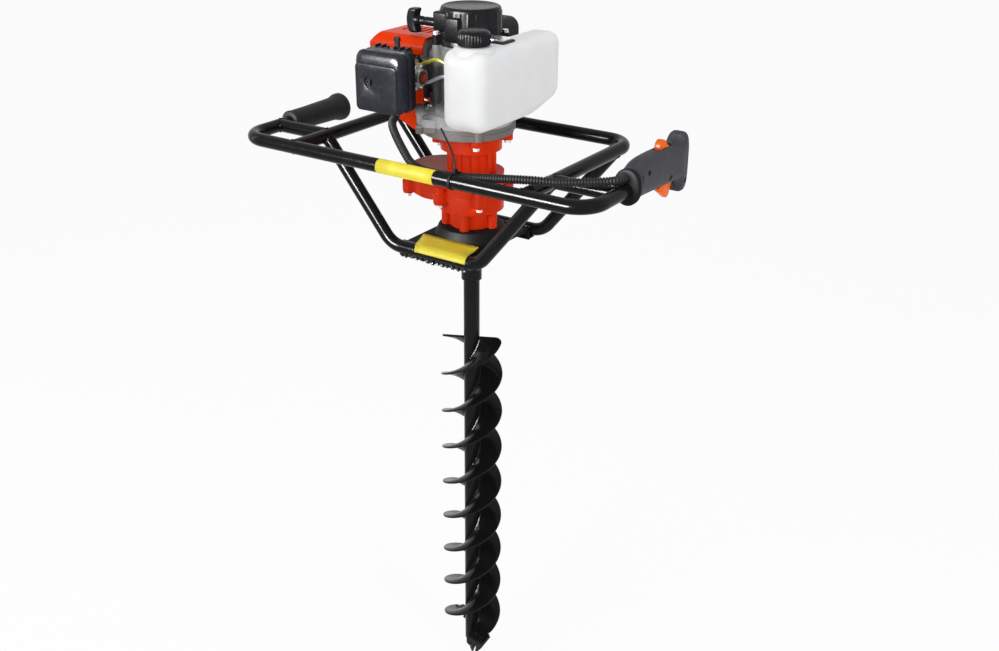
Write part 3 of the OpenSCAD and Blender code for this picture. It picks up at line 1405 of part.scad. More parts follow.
// Ribbed screw cap over the filler neck
module tank_cap() {
  ribs = 24;
  color("#19191b") translate([neck_pos[0], neck_pos[1], tank_z + tank_h + neck_base + 1.2]) difference() {
    union() {
      cylinder(d = cap_d - 2, h = cap_h);
      translate([0, 0, cap_h]) cylinder(d1 = cap_d - 4, d2 = cap_d - 12, h = 3);
      around(ribs) translate([cap_d / 2 - 2.2, -1.2, 0]) cube([2.2, 2.4, cap_h - 2]);
    }
    translate([0, 0, -1]) cylinder(r = cap_d / 2 - 6 + loose_gap, h = neck_rise + 1);
  }
}

module cap_gasket() {
  color("#2c2c2e") translate([neck_pos[0], neck_pos[1], tank_z + tank_h + neck_base + neck_rise + seat_gap])
    ring(cap_d / 2 - 6, cap_d / 2 - 11, 1.2 - 2 * seat_gap);
}

// Sheet bracket from a starter lug over the tank, on a rubber pad
module tank_bracket() {
  foot = starter_z + lug_top + seat_gap;
  top = tank_z + tank_h + pad_t + 2 * seat_gap;
  inner = lug_ring * cos(45) - 7;
  color("#c9cbce") difference() {
    translate([0, bracket_y + 13, 0]) rotate([90, 0, 0]) linear_extrude(26) polygon([
      [inner, foot], [inner + 14, foot], [tank_side + 3, top], [tank_side + 40, top],
      [tank_side + 40, top + bracket_t], [tank_side + 2, top + bracket_t],
      [inner + 13, foot + bracket_t], [inner, foot + bracket_t]]);
    translate([0, 0, starter_z]) cylinder(r = starter_r + 1 + loose_gap, h = starter_h);
    translate([lug_ring * cos(45), -lug_ring * cos(45), starter_z])
      cylinder(d = engine_screw_d + 2 * screw_gap, h = 40);
  }
}

module tank_pad() {
  color("#1d1d1f") translate([tank_side + 14, bracket_y - 16, tank_z + tank_h + seat_gap])
    linear_extrude(pad_t) translate([15, 15]) rounded_rect(30, 32, 3);
}

// A soft hose along hand-picked points
module hose(path, r, bore, rings, lean) {
  sides = 8;
  c = curve(path, 6);
  l = lengths(c);
  total = l[len(l) - 1];
  outer = [for (i = [0:rings - 1])
    each ring_points(c, l, total * i / (rings - 1), round_section(r, sides), lean)];
  inner = [for (i = [0:rings - 1])
    each ring_points(c, l, total * i / (rings - 1), round_section(bore, sides), lean)];
  start = rings * sides;
  polyhedron(concat(outer, inner), concat(
    wall_faces(0, rings, sides, false),
    wall_faces(start, rings, sides, true),
    rim_faces(0, start, sides, false),
    rim_faces((rings - 1) * sides, start + (rings - 1) * sides, sides, true)));
}

// Two soft hoses from the tank to the carburettor
module fuel_lines() {
  tank_face = tank_x - loose_gap;
  carb_face = -port_x + 15 + loose_gap;
  y = -port_face - intake_h - 6;
  color("#c9c64a") {
    hose([
      [tank_face, y - 6, barrel_z + 16], [tank_face - 6, y - 6, barrel_z + 16], [16, y - 8, barrel_z + 20],
      [-10, y - 9, barrel_z + 27], [-32, y - 3, barrel_z + 20], [carb_face + 6, y, barrel_z + 14],
      [carb_face, y, barrel_z + 14]], 2.6, 1.7, 24, [0, 1, 0]);
    hose([
      [tank_face, y + 2, barrel_z + 4], [tank_face - 6, y + 2, barrel_z + 4], [16, y, barrel_z + 6],
      [-8, y - 4, barrel_z + 2], [-30, y - 2, barrel_z - 8], [carb_face + 6, y, barrel_z - 12],
      [carb_face, y, barrel_z - 12]], 2.6, 1.7, 24, [0, 1, 0]);
  }
}

// Silencer box with its outlet pipe
module muffler() {
  centre = -port_x + 16;
  color("#77797d") translate([0, port_face + seat_gap, barrel_z]) rotate([-90, 0, 0]) difference() {
    union() {
      translate([-port_x, 0, 0]) linear_extrude(8) rounded_rect(34, 28, 5);
      translate([centre, 0, 7]) linear_extrude(44) rounded_rect(84, 80, 12);
      translate([centre, 0, 26]) linear_extrude(3) rounded_rect(88, 84, 13);
    }
    translate([-port_x, 0, -1]) cylinder(r = 9, h = 12);
    translate([centre, 0, 10]) linear_extrude(38) rounded_rect(78, 74, 9);
    translate([centre + 26, 20, 40]) cylinder(r = 7, h = 20);
  }
}

// Slotted guard over the hot silencer
module muffler_guard() {
  centre = -port_x + 16;
  from = shroud_in + shroud_t + seat_gap;
  depth = port_face + 62 - from;
  wall = 2.5;
  color("#1b1b1d") translate([0, from, barrel_z]) rotate([-90, 0, 0]) difference() {
    translate([centre + 7, -7, 0]) linear_extrude(depth) rounded_rect(114, 112, 16);
    translate([centre + 7, -7, -1]) linear_extrude(depth + 1 - wall)
      rounded_rect(114 - 2 * wall, 112 - 2 * wall, 14);
    for (k = [-3:3]) translate([centre + 7 + 12 * k - 3, -41, depth - 10]) cube([6, 68, 20]);
    for (k = [0:3]) translate([centre - 34 + 19 * k, -70, 14]) cube([11, 20, depth - 24]);
    // Clear of the starter, the crankcase foot and the tank
    translate([0, 60, 0]) rotate([90, 0, 0]) translate([0, -from, -40]) cylinder(r = lug_ring + 8, h = 200);
  }
}

// Screws of the crankcase foot, the starter lugs and the filter cover
module engine_screws() {
  color("#c3c5c8") {
    for (k = [0:3]) rotate(45 + 90 * k) {
      translate([fan_r - 8, 0, case_z + 6]) rotate([180, 0, 0]) pan_screw(engine_screw_d, 16);
      translate([lug_ring, 0, starter_z + lug_top + (k == 3 ? bracket_t + seat_gap : 0)])
        rotate([180, 0, 0]) hex_screw(engine_screw_d, 24);
    }
    translate([-port_x + recess_at, filter_y - base_t - 2 * seat_gap - filter_depth + 3, filter_z])
      rotate([-90, 0, 0]) pan_screw(engine_screw_d, filter_depth + 2);
  }
}

handle_bar();
rear_loop();
front_cradle();
rear_cradle();
brace_tubes();
base_plate();
left_grip();
handle_shell_inner();
handle_shell_outer();
handle_pins();
throttle_trigger();
lock_lever();
cable_loom();
cable_tie();
gearbox_lower_case();
gearbox_upper_case();
gearbox_bolts();
gear_bearings();
output_shaft();
output_gear();
countershaft();
countershaft_gear();
drive_pinion();
clutch_drum();
auger_tube();
auger_flights();
cutting_blades();
blade_bolts();
pilot_point();
coupling_pin();
fan_housing();
flywheel();
clutch_shoes();
crankshaft();
crankcase();
cylinder_barrel();
spark_plug();
plug_boot();
cylinder_shroud();
intake_block();
carburettor();
primer_bulb();
throttle_arm();
filter_base();
filter_element();
filter_cover();
choke_lever();
starter_housing();
starter_pulley();
starter_rope();
starter_handle();
fuel_tank();
tank_cap();
cap_gasket();
tank_bracket();
tank_pad();
fuel_lines();
muffler();
muffler_guard();
engine_screws();
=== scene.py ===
import math
import random

import bmesh
import bpy
from mathutils import Matrix, Vector


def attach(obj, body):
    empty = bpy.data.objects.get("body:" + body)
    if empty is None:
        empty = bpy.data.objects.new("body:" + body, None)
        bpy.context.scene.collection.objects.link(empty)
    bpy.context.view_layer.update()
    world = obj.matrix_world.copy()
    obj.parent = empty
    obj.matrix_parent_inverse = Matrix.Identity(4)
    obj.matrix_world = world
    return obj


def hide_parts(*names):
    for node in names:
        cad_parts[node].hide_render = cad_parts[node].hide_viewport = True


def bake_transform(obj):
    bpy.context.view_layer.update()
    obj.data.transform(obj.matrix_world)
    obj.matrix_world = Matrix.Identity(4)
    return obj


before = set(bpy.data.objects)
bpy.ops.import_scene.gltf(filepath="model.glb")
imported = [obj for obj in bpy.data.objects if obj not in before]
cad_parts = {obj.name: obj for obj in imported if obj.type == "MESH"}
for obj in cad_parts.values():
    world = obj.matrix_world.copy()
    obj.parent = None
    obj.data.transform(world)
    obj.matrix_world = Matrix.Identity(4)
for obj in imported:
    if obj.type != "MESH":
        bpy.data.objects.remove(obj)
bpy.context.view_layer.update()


# The viewpoint: a tripod to the right front of the machine, half a metre above the handles.
# Its place, tilt and lens give the drill and the frame the same outline as in the photograph.
pitch, yaw, roll = (math.radians(a) for a in (24.899, 33.293, 0.496))
ahead = Vector((-math.sin(yaw) * math.cos(pitch), math.cos(yaw) * math.cos(pitch), -math.sin(pitch)))
right = Vector((math.cos(yaw), math.sin(yaw), 0))
above = right.cross(ahead)
right, above = (math.cos(roll) * right + math.sin(roll) * above,
                math.cos(roll) * above - math.sin(roll) * right)
sensor, focal_pixels, photo_wide = 36, 1168.8, 999
tripod = Vector((0.96524, -1.389148, 1.44393))
viewpoint = bpy.data.objects.new("viewpoint", bpy.data.cameras.new("viewpoint"))
viewpoint.data.sensor_width = sensor
viewpoint.data.lens = sensor * focal_pixels / photo_wide
viewpoint.data.clip_end = 50
viewpoint.matrix_world = Matrix((
    (right.x, above.x, -ahead.x, tripod.x),
    (right.y, above.y, -ahead.y, tripod.y),
    (right.z, above.z, -ahead.z, tripod.z),
    (0, 0, 0, 1)))
bpy.context.scene.collection.objects.link(viewpoint)
bpy.context.scene.camera = viewpoint
bpy.context.scene.view_settings.view_transform = "Standard"


# The studio: a white paper floor under the tip of the drill, a long strip lamp along the front
# and soft lamps over and beside the machine, in a plain white room.
class Wire:
    """One shader socket; arithmetic on it adds Math nodes to its finish."""

    def __init__(self, finish, socket):
        self.finish, self.socket = finish, socket

    def math(self, operation, *values):
        return self.finish.node("Math", {"operation": operation}, dict(enumerate(values)))

    def __add__(self, other):
        return self.math("ADD", self, other)

    def __sub__(self, other):
        return self.math("SUBTRACT", self, other)

    def __mul__(self, other):
        return self.math("MULTIPLY", self, other)

    def __rsub__(self, other):
        return self.math("SUBTRACT", other, self)

    def __gt__(self, other):
        return self.math("GREATER_THAN", self, other)

    def __lt__(self, other):
        return self.math("LESS_THAN", self, other)

    def clip(self, low, high):
        """0 below low, 1 above high, a straight ramp between."""
        return self.finish.node("MapRange", {}, {"Value": self, "From Min": low, "From Max": high})


class Finish:
    """The surface of a piece: a Principled shader whose sockets take numbers, colours or wires."""

    def __init__(self, owner, sockets):
        owner.use_nodes = True
        self.owner, self.tree = owner, owner.node_tree
        self.shader = next(n for n in self.tree.nodes if n.type in ("BSDF_PRINCIPLED", "BACKGROUND"))
        self.set(sockets)

    def set(self, sockets):
        for name, value in sockets.items():
            self.feed(self.shader.inputs[name], value)

    def feed(self, socket, value):
        if isinstance(value, Wire):
            self.tree.links.new(value.socket, socket)
        elif hasattr(value, "__len__") and len(value) == 3 and socket.type == "RGBA":
            socket.default_value = (*value, 1)
        else:
            socket.default_value = value

    def node(self, kind, settings, inputs, out=0):
        made = self.tree.nodes.new("ShaderNode" + kind)
        for name, value in settings.items():
            setattr(made, name, value)
        for name, value in inputs.items():
            self.feed(made.inputs[name], value)
        return Wire(self, made.outputs[out])

    def place(self):
        """Where a point lies on the machine, in metres."""
        return self.node("TexCoord", {}, {}, "Object")

    def along(self, axis):
        """How far a point lies along x, y or z, counted from 0."""
        return self.node("SeparateXYZ", {}, {0: self.place()}, axis)

    def noise(self, scale, detail):
        """Soft clouds between 0 and 1."""
        return self.node("TexNoise", {}, {"Vector": self.place(), "Scale": scale, "Detail": detail})

    def mix(self, share, first, second):
        return self.node("Mix", {"data_type": "RGBA"}, {0: share, 6: first, 7: second}, 2)

    def mottle(self, scale, first, second):
        """Two colours in soft clouds."""
        return self.mix(self.noise(scale, 3).clip(0.3, 0.7), first, second)

    def relief(self, height, depth, edge=0.0):
        """A bump of that depth in metres; edge rounds the sharp corners by that radius."""
        inputs = {"Height": height, "Distance": depth, "Strength": 1.0}
        if edge:
            inputs["Normal"] = self.node("Bevel", {"samples": 4}, {"Radius": edge})
        self.set({"Normal": self.node("Bump", {}, inputs)})

    def wear(self, other, rough, scale, depth, edge=0.0):
        """Mottles the colour towards another, makes the gloss uneven and adds a grain."""
        own = tuple(self.shader.inputs["Base Color"].default_value)[:3]
        dull = self.noise(scale * 0.2, 2).clip(0.25, 0.75)
        self.set({"Base Color": self.mottle(scale * 0.08, own, other),
                  "Roughness": dull * (rough[1] - rough[0]) + rough[0]})
        self.relief(self.noise(scale, 2), depth, edge)
        return self


def finish(name, colour, more):
    """A new finish with a plain colour and more socket values."""
    return Finish(bpy.data.materials.new(name), {"Base Color": colour, **more})


def lit(coat):
    """1 for rays that come straight from the viewpoint, a mirror or a clear piece."""
    rays = [coat.node("LightPath", {}, {}, f"Is {kind} Ray")
            for kind in ("Camera", "Glossy", "Transmission")]
    return (rays[0] + rays[1] + rays[2]).clip(0, 1)


paper = finish("white_paper", (0.9, 0.9, 0.9), {"Roughness": 0.9})
far, floor_z = 30, -0.0006
floor_mesh = bpy.data.meshes.new("floor")
floor_corners = [(-far, -far, floor_z), (far, -far, floor_z), (far, far, floor_z), (-far, far, floor_z)]
floor_mesh.from_pydata(floor_corners, [], [(0, 1, 2, 3)])
floor_mesh.materials.append(paper.owner)
floor = bpy.data.objects.new("floor", floor_mesh)
bpy.context.scene.collection.objects.link(floor)
glow = paper.node("Emission", {}, {"Color": (1, 1, 1), "Strength": 1.0}, 0)
kept = paper.node("MixShader", {}, {0: lit(paper) * 0.94, 1: Wire(paper, paper.shader.outputs[0]), 2: glow})
paper.tree.links.new(kept.socket, paper.tree.nodes["Material Output"].inputs["Surface"])

room = bpy.data.worlds.new("room")
bpy.context.scene.world = room
air = Finish(room, {"Color": (1, 1, 1)})
air.set({"Strength": lit(air) * 0.72 + 0.28})


def soft_lamp(name, place, aim, size, power, gives="both"):
    """A flat lamp that gives shade, sheen or both."""
    lamp = bpy.data.objects.new(name, bpy.data.lights.new(name, "AREA"))
    lamp.data.shape = "RECTANGLE"
    lamp.data.size, lamp.data.size_y = size
    lamp.data.energy = power
    lamp.location = place
    lamp.rotation_euler = (Vector(aim) - Vector(place)).to_track_quat("-Z", "Y").to_euler()
    lamp.visible_diffuse, lamp.visible_glossy = gives != "sheen", gives != "shade"
    bpy.context.scene.collection.objects.link(lamp)


soft_lamp("lamp_strip", (-0.5, -2.3, 1.62), (0, -0.1, 0.93), (1.75, 0.75), 760, "sheen")
soft_lamp("lamp_front", (-0.6, -2.4, 1.7), (0, 0, 0.9), (1.6, 1.2), 25, "shade")
soft_lamp("lamp_over", (-0.2, -0.3, 2.7), (0, 0, 0.8), (1.4, 0.7), 11, "shade")
soft_lamp("lamp_left", (-2.2, -0.9, 1.5), (0, 0, 0.8), (0.5, 1.8), 8)
soft_lamp("lamp_right", (2.3, -0.7, 1.4), (0, 0, 0.9), (0.8, 1.8), 30, "shade")


# The frame: 20 mm steel tube, bent cold, coped and welded, then powder coated in gloss black.
# The long bar carries both grips, a loop closes the back, and two cradles hang below it.
def piece(name, mesh, body, coat, slot, *nodes):
    """Makes a piece from a mesh, gives it its finish and its body, and lets it stand for CAD nodes."""
    made = bpy.data.objects.new(name, mesh)
    bpy.context.scene.collection.objects.link(made)
    made.data.materials.clear()
    made.data.materials.append(coat.owner)
    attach(made, body)
    if nodes:
        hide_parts(*nodes)
    return made


def coat_nodes(coat, *nodes):
    """Gives CAD nodes that keep their own shape a finish."""
    for name in nodes:
        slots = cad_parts[name].data.materials
        slots.clear()
        slots.append(coat.owner)


plain_crease = 40


def mesh_of(name, points, faces, crease=plain_crease):
    """A closed mesh with its faces turned outward, smooth but for corners sharper than crease."""
    mesh = bpy.data.meshes.new(name)
    mesh.from_pydata([tuple(p) for p in points], [], faces)
    mesh.validate()
    form = bmesh.new()
    form.from_mesh(mesh)
    bmesh.ops.remove_doubles(form, verts=form.verts, dist=1e-7)
    bmesh.ops.recalc_face_normals(form, faces=form.faces)
    form.to_mesh(mesh)
    form.free()
    mesh.shade_smooth()
    mesh.set_sharp_from_angle(angle=math.radians(crease))
    return mesh


def loft(rings):
    """Faces between rings of equally many points, with closed ends."""
    n = len(rings[0])
    points = [p for ring in rings for p in ring]
    faces = [(i * n + k, i * n + (k + 1) % n, (i + 1) * n + (k + 1) % n, (i + 1) * n + k)
             for i in range(len(rings) - 1) for k in range(n)]
    if (rings[0][0] - rings[-1][0]).length < 1e-7:
        return points, faces
    return points, faces + [tuple(range(n))[::-1], tuple(range(len(points) - n, len(points)))]


def walk(line, count):
    """Points at even lengths along a line, and its length."""
    marks = [0.0]
    for a, b in zip(line, line[1:]):
        marks.append(marks[-1] + (b - a).length)
    out, i = [], 0
    for k in range(count):
        want = marks[-1] * k / (count - 1)
        while i < len(line) - 2 and marks[i + 1] < want:
            i += 1
        out.append(line[i].lerp(line[i + 1], (want - marks[i]) / max(marks[i + 1] - marks[i], 1e-9)))
    return out, marks[-1]


def sleeve(line, radii, sides):
    """A round body along a line with a radius for each point."""
    rings, turn = [], None
    for i, centre in enumerate(line):
        ahead = (line[min(i + 1, len(line) - 1)] - line[max(i - 1, 0)]).normalized()
        turn = (turn or ahead.orthogonal()) - ahead * ahead.dot(turn or ahead.orthogonal())
        turn.normalize()
        across = ahead.cross(turn)
        rings.append([centre + radii[i] * (math.cos(a) * turn + math.sin(a) * across)
                      for a in (2 * math.pi * k / sides for k in range(sides))])
    return loft(rings)


def shaped(name, form, body, coat, slot, *nodes, crease=plain_crease):
    """A piece from a list of points and a list of faces."""
    return piece(name, mesh_of(name, *form, crease), body, coat, slot, *nodes)


def joined(*parts):
    """Several point and face lists as one."""
    points, faces = [], []
    for more_points, more_faces in parts:
        faces += [tuple(i + len(points) for i in face) for face in more_faces]
        points += more_points
    return points, faces


bead_step, ripple_length = 0.0007, 0.0024


def bead(line, width, rng):
    """A weld bead: ripples laid one over the other along a line."""
    steps = max(8, int(sum((b - a).length for a, b in zip(line, line[1:])) / bead_step))
    even, length = walk(line, steps)
    radii, swell = [], 1.0
    for k in range(steps):
        ripple = (k * length / steps / ripple_length) % 1
        if ripple < 0.3:
            swell = 0.7 * swell + 0.3 * rng.uniform(0.85, 1.2)
        radii.append(width / 2 * swell * (0.84 + 0.22 * ripple))
    radii[0] = radii[-1] = 0.3 * width
    return sleeve(even, radii, 8)


frame_z, tube_r, rail_x, hook_x = 0.9595, 0.010, 0.1985, 0.297
brace_y, front_y, cradle_y = -0.093, -0.171, (-0.097, 0.080)


def saddle(centre, branch, run):
    """The line where a coped tube meets the wall of another of the same size."""
    side = branch.cross(run)
    turns = [2 * math.pi * k / 48 for k in range(49)]
    return [centre + tube_r * (math.cos(a) * run + math.sin(a) * side + abs(math.cos(a)) * branch)
            for a in turns]


powder = finish("black_powder_coat", (0.006, 0.006, 0.007), {"Specular IOR Level": 0.08})
powder.wear((0.009, 0.009, 0.010), (0.14, 0.2), 420, 0.00004)
coat_nodes(powder, "handle_bar", "rear_loop", "front_cradle", "rear_cradle", "brace_tubes")
rng = random.Random(7)
along_x, along_y = Vector((1, 0, 0)), Vector((0, 1, 0))
beads = []
for s in (-1, 1):
    cradle_leg = Vector((s * -0.6301, 0, -0.7765))
    for centre, branch, run in (
            ((s * rail_x, brace_y, frame_z), s * along_x, along_y),
            ((s * hook_x, brace_y, frame_z), -s * along_x, along_y),
            ((s * rail_x, front_y, frame_z), along_y, along_x),
            ((s * rail_x, cradle_y[0], frame_z), cradle_leg, along_y),
            ((s * rail_x, cradle_y[1], frame_z), cradle_leg, along_y)):
        beads.append(bead(saddle(Vector(centre), branch, run), 0.0030, rng))
shaped("frame_welds", joined(*beads), "frame", powder, "frame_black")


# The base plate: 4 mm steel sheet, pressed to a dish under the gearbox and powder coated.
# Its front and back edges step down under the cradle tubes and are stitch welded to them.
def rounded(wide, tall, radius, steps=7):
    """Points of a rectangle with rounded corners."""
    return [Vector((sx * (wide / 2 - radius) + radius * math.cos(a),
                    sy * (tall / 2 - radius) + radius * math.sin(a), 0))
            for k, (sx, sy) in enumerate(((1, 1), (-1, 1), (-1, -1), (1, -1)))
            for a in (math.pi / 2 * (k + i / steps) for i in range(steps + 1))]


def pressed(sections, place):
    """A loft of rounded rectangles in millimetres: centre, width, height, corner radius, depth."""
    return loft([[place @ ((p + Vector((x, y, depth))) / 1000) for p in rounded(wide, tall, radius)]
                 for x, y, wide, tall, radius, depth in sections])


def eased(profile, radius, steps=4):
    """A profile with its corners rounded."""
    out = [Vector(profile[0])]
    for a, b, c in zip(profile, profile[1:], profile[2:]):
        a, b, c = Vector(a), Vector(b), Vector(c)
        d = min(radius, 0.45 * (b - a).length, 0.45 * (c - b).length)
        start, end = b + (a - b).normalized() * d, b + (c - b).normalized() * d
        for k in range(steps + 1):
            t = k / steps
            out.append((1 - t) ** 2 * start + 2 * t * (1 - t) * b + t * t * end)
    return out + [Vector(profile[-1])]


def turned(profile, sides, place, shape=None):
    """A turned form from pairs of radius and height; shape adds to the radius."""
    rings = []
    for r, h in profile:
        ring = []
        for k in range(sides):
            a = 2 * math.pi * k / sides
            out = r + (shape(a, r, h) if shape else 0)
            ring.append(place @ Vector((out * math.cos(a), out * math.sin(a), h)))
        rings.append(ring)
    return loft(rings)


def softened(node, width, segments=2, angle=0.6):
    """A node's own mesh with its sharp edges rounded."""
    form = bmesh.new()
    form.from_mesh(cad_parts[node].data)
    bmesh.ops.remove_doubles(form, verts=form.verts, dist=2e-6)
    bmesh.ops.dissolve_limit(form, angle_limit=0.01, verts=form.verts, edges=form.edges)
    sharp = [e for e in form.edges if len(e.link_faces) == 2 and e.calc_face_angle() > angle]
    bmesh.ops.bevel(form, geom=sharp, offset=width, offset_type="OFFSET", segments=segments, profile=0.5,
                    affect="EDGES", clamp_overlap=False, miter_outer="ARC")
    bmesh.ops.remove_doubles(form, verts=form.verts, dist=2e-6)
    mesh = bpy.data.meshes.new(node)
    form.to_mesh(mesh)
    form.free()
    mesh.validate()
    mesh.shade_smooth()
    mesh.set_sharp_from_angle(angle=math.radians(plain_crease))
    return mesh


satin_coat = finish("satin_powder_coat", (0.007, 0.007, 0.008), {"Specular IOR Level": 0.05})
satin_coat.wear((0.010, 0.010, 0.011), (0.5, 0.6), 420, 0.00003)
plate_z, plate_y, plate_deep = 816, -8.5, 156.4
sheet_wide, flange_wide, flange_deep = 124, 126, 20
dish = eased([
    (0.0190, 0.829), (0.0456, 0.829), (0.0525, 0.8135), (0.0560, 0.8135), (0.0572, 0.816),
    (0.0500, 0.8318), (0.0480, 0.833), (0.0190, 0.833), (0.0190, 0.829)], 0.0016)
flat = [(0, plate_y, sheet_wide - d, plate_deep - d, 8, plate_z - h)
        for d, h in ((1, 4), (0, 3.4), (0, 0.6), (1, 0))]
plate = [turned(dish, 96, Matrix()), pressed(flat, Matrix())]
for y, side in zip(cradle_y, (-1, 1)):
    lip_y, flange_y = 1000 * y - side * 12.2, 1000 * y - side * 6
    lip = [(0, lip_y, flange_wide - d, 4, 1.4, z)
           for d, z in ((0, 797.4), (0, 810), (4, 814), (10, 815.6))]
    flange = [(0, flange_y, flange_wide - d, flange_deep - d, 3, z)
              for d, z in ((1, 798.2), (0, 798.8), (0, 800.6), (1, 801.2))]
    plate += [pressed(lip, Matrix()), pressed(flange, Matrix())]
shaped("base_plate_pressing", joined(*plate), "frame", satin_coat, "frame_black", "base_plate")
stitches = []
top_seam_z, low_seam_z = 0.8168, 0.7996
low_count, low_start, low_pitch = 13, -0.057, 0.0095
for y, side in zip(cradle_y, (1, -1)):
    for x in (-0.052, -0.018, 0.016, 0.050):
        high = [Vector((x + d, y + side * 0.0092, top_seam_z)) for d in (-0.012, 0, 0.012)]
        stitches.append(bead(high, 0.0045, rng))
    for k in range(low_count):
        x = low_start + low_pitch * k + rng.uniform(-0.0015, 0.0015)
        half = rng.uniform(0.0014, 0.0034)
        low = [Vector((x + d, y - side * 0.0044 + rng.uniform(-0.0008, 0.0008),
                       low_seam_z + rng.uniform(-0.0006, 0.0006))) for d in (-half, 0, half)]
        stitches.append(bead(low, rng.uniform(0.0042, 0.0060), rng))
spatter = finish("painted_weld", (0.010, 0.010, 0.011), {"Specular IOR Level": 0.3})
spatter.wear((0.016, 0.016, 0.017), (0.12, 0.2), 320, 0.0012)
shaped("plate_welds", joined(*stitches), "frame", spatter, "frame_black")


# Two plain yellow films: one round the front rail, one over the front cradle tube and the plate.
# Printed vinyl on the real machine, 0.2 mm thick; here they carry no print.
def film(name, rows):
    """A thin sheet between rows of points, with a top, an underside and edges."""
    wide, tall = len(rows[0]), len(rows)
    mesh = mesh_of(name, [p for row in rows for p in row],
                   [(i * wide + k, i * wide + k + 1, (i + 1) * wide + k + 1, (i + 1) * wide + k)
                    for i in range(tall - 1) for k in range(wide - 1)])
    form = bmesh.new()
    form.from_mesh(mesh)
    bmesh.ops.solidify(form, geom=form.faces, thickness=0.0002)
    form.to_mesh(mesh)
    form.free()
    return mesh


yellow = finish("yellow_film", (0.92, 0.80, 0.06), {"Specular IOR Level": 0.08})
yellow.wear((0.87, 0.73, 0.05), (0.5, 0.58), 900, 0.00002)
turns = [math.radians(a) for a in range(-70, 181, 10)]
film_r = tube_r + 0.0003
rail_film = [[Vector((x, front_y - film_r * math.cos(a), frame_z + film_r * math.sin(a))) for a in turns]
             for x in (-0.037, -0.012, 0.012, 0.036, 0.060)]
piece("rail_film", film("rail_film", rail_film), "frame", yellow, "hose_yellow")
plate_film = []
film_front, film_deep = -0.1073, 0.0513
for y, z in ((film_front, 0.8125), (-0.1068, 0.8155), (-0.1048, 0.8182), (-0.102, 0.8202), (-0.0985, 0.8213),
             (-0.094, 0.8214), (-0.088, 0.8209), (-0.081, 0.8205), (-0.073, 0.8204), (-0.065, 0.8207),
             (-0.056, 0.8214)):
    t = (y - film_front) / film_deep
    left, wide = -0.029 - 0.021 * t, 0.091 + 0.011 * t
    plate_film.append([Vector((left + wide * u / 8, y, z)) for u in range(9)])
piece("plate_film", film("plate_film", plate_film), "frame", yellow, "hose_yellow")


# The left grip: soft black rubber, moulded in one piece with a fine grain.
# It is pushed over the end of the bar and swells towards its rear flange.
def turn_to(axis, at):
    """A matrix that stands a turned form at a point with its height along axis."""
    turn = Vector((0, 0, 1)).rotation_difference(Vector(axis))
    return Matrix.Translation(Vector(at)) @ turn.to_matrix().to_4x4()


rubber = finish("soft_rubber", (0.021, 0.021, 0.024), {"Specular IOR Level": 0.09})
rubber.wear((0.027, 0.027, 0.030), (0.48, 0.6), 1700, 0.0001)
grip_profile = eased([
    (0.002, 0.0), (0.0150, 0), (0.0172, 0.0022), (0.0172, 0.0070), (0.0155, 0.0088), (0.0155, 0.0105),
    (0.0166, 0.013), (0.0168, 0.040), (0.0176, 0.070), (0.0182, 0.096), (0.0190, 0.106), (0.0212, 0.112),
    (0.0220, 0.116), (0.0220, 0.1215), (0.0200, 0.1248), (0.010, 0.125), (0.002, 0.125)], 0.004)
grip_place = turn_to((0, 1, 0), (-hook_x, -0.072, frame_z))
shaped("grip_rubber", turned(grip_profile, 64, grip_place), "frame", rubber, "grip_rubber", "left_grip")


# The throttle handle: two moulded nylon halves round the right end of the bar, screwed together.
# A collar takes the tube and the cable loom, and a flat guard stands behind the trigger hand.
def carved(mesh, *tools):
    """A mesh with other closed meshes taken out of it."""
    made = [bpy.data.objects.new("block", mesh)] + [bpy.data.objects.new("tool", tool) for tool in tools]
    for thing in made:
        bpy.context.scene.collection.objects.link(thing)
    for tool in made[1:]:
        step = made[0].modifiers.new("cut", "BOOLEAN")
        step.object, step.solver = tool, "EXACT"
    cut = bpy.data.meshes.new_from_object(made[0].evaluated_get(bpy.context.evaluated_depsgraph_get()))
    for thing in made:
        bpy.data.objects.remove(thing)
    cut.shade_smooth()
    cut.set_sharp_from_angle(angle=math.radians(plain_crease))
    return cut


def brick(low, high):
    """A plain block between two corners, in millimetres."""
    return loft([[Vector((x, y, z)) / 1000 for x, y in
                  ((low[0], low[1]), (high[0], low[1]), (high[0], high[1]), (low[0], high[1]))]
                 for z in (low[2], high[2])])


def half_of(mesh, at, way):
    """The part of a mesh on one side of an upright plane, closed again."""
    form = bmesh.new()
    form.from_mesh(mesh)
    bmesh.ops.bisect_plane(form, geom=form.verts[:] + form.edges[:] + form.faces[:], dist=1e-6,
                           plane_co=(at, 0, 0), plane_no=(way, 0, 0), clear_inner=True)
    bmesh.ops.holes_fill(form, edges=[e for e in form.edges if e.is_boundary], sides=0)
    kept = bpy.data.meshes.new(mesh.name)
    form.to_mesh(kept)
    form.free()
    kept.set_sharp_from_angle(angle=math.radians(plain_crease))
    return kept


def round_tool(radius, start, end, sides, place):
    """A round tool to carve with."""
    return mesh_of("tool", *turned([(radius, start), (radius, end)], sides, place))


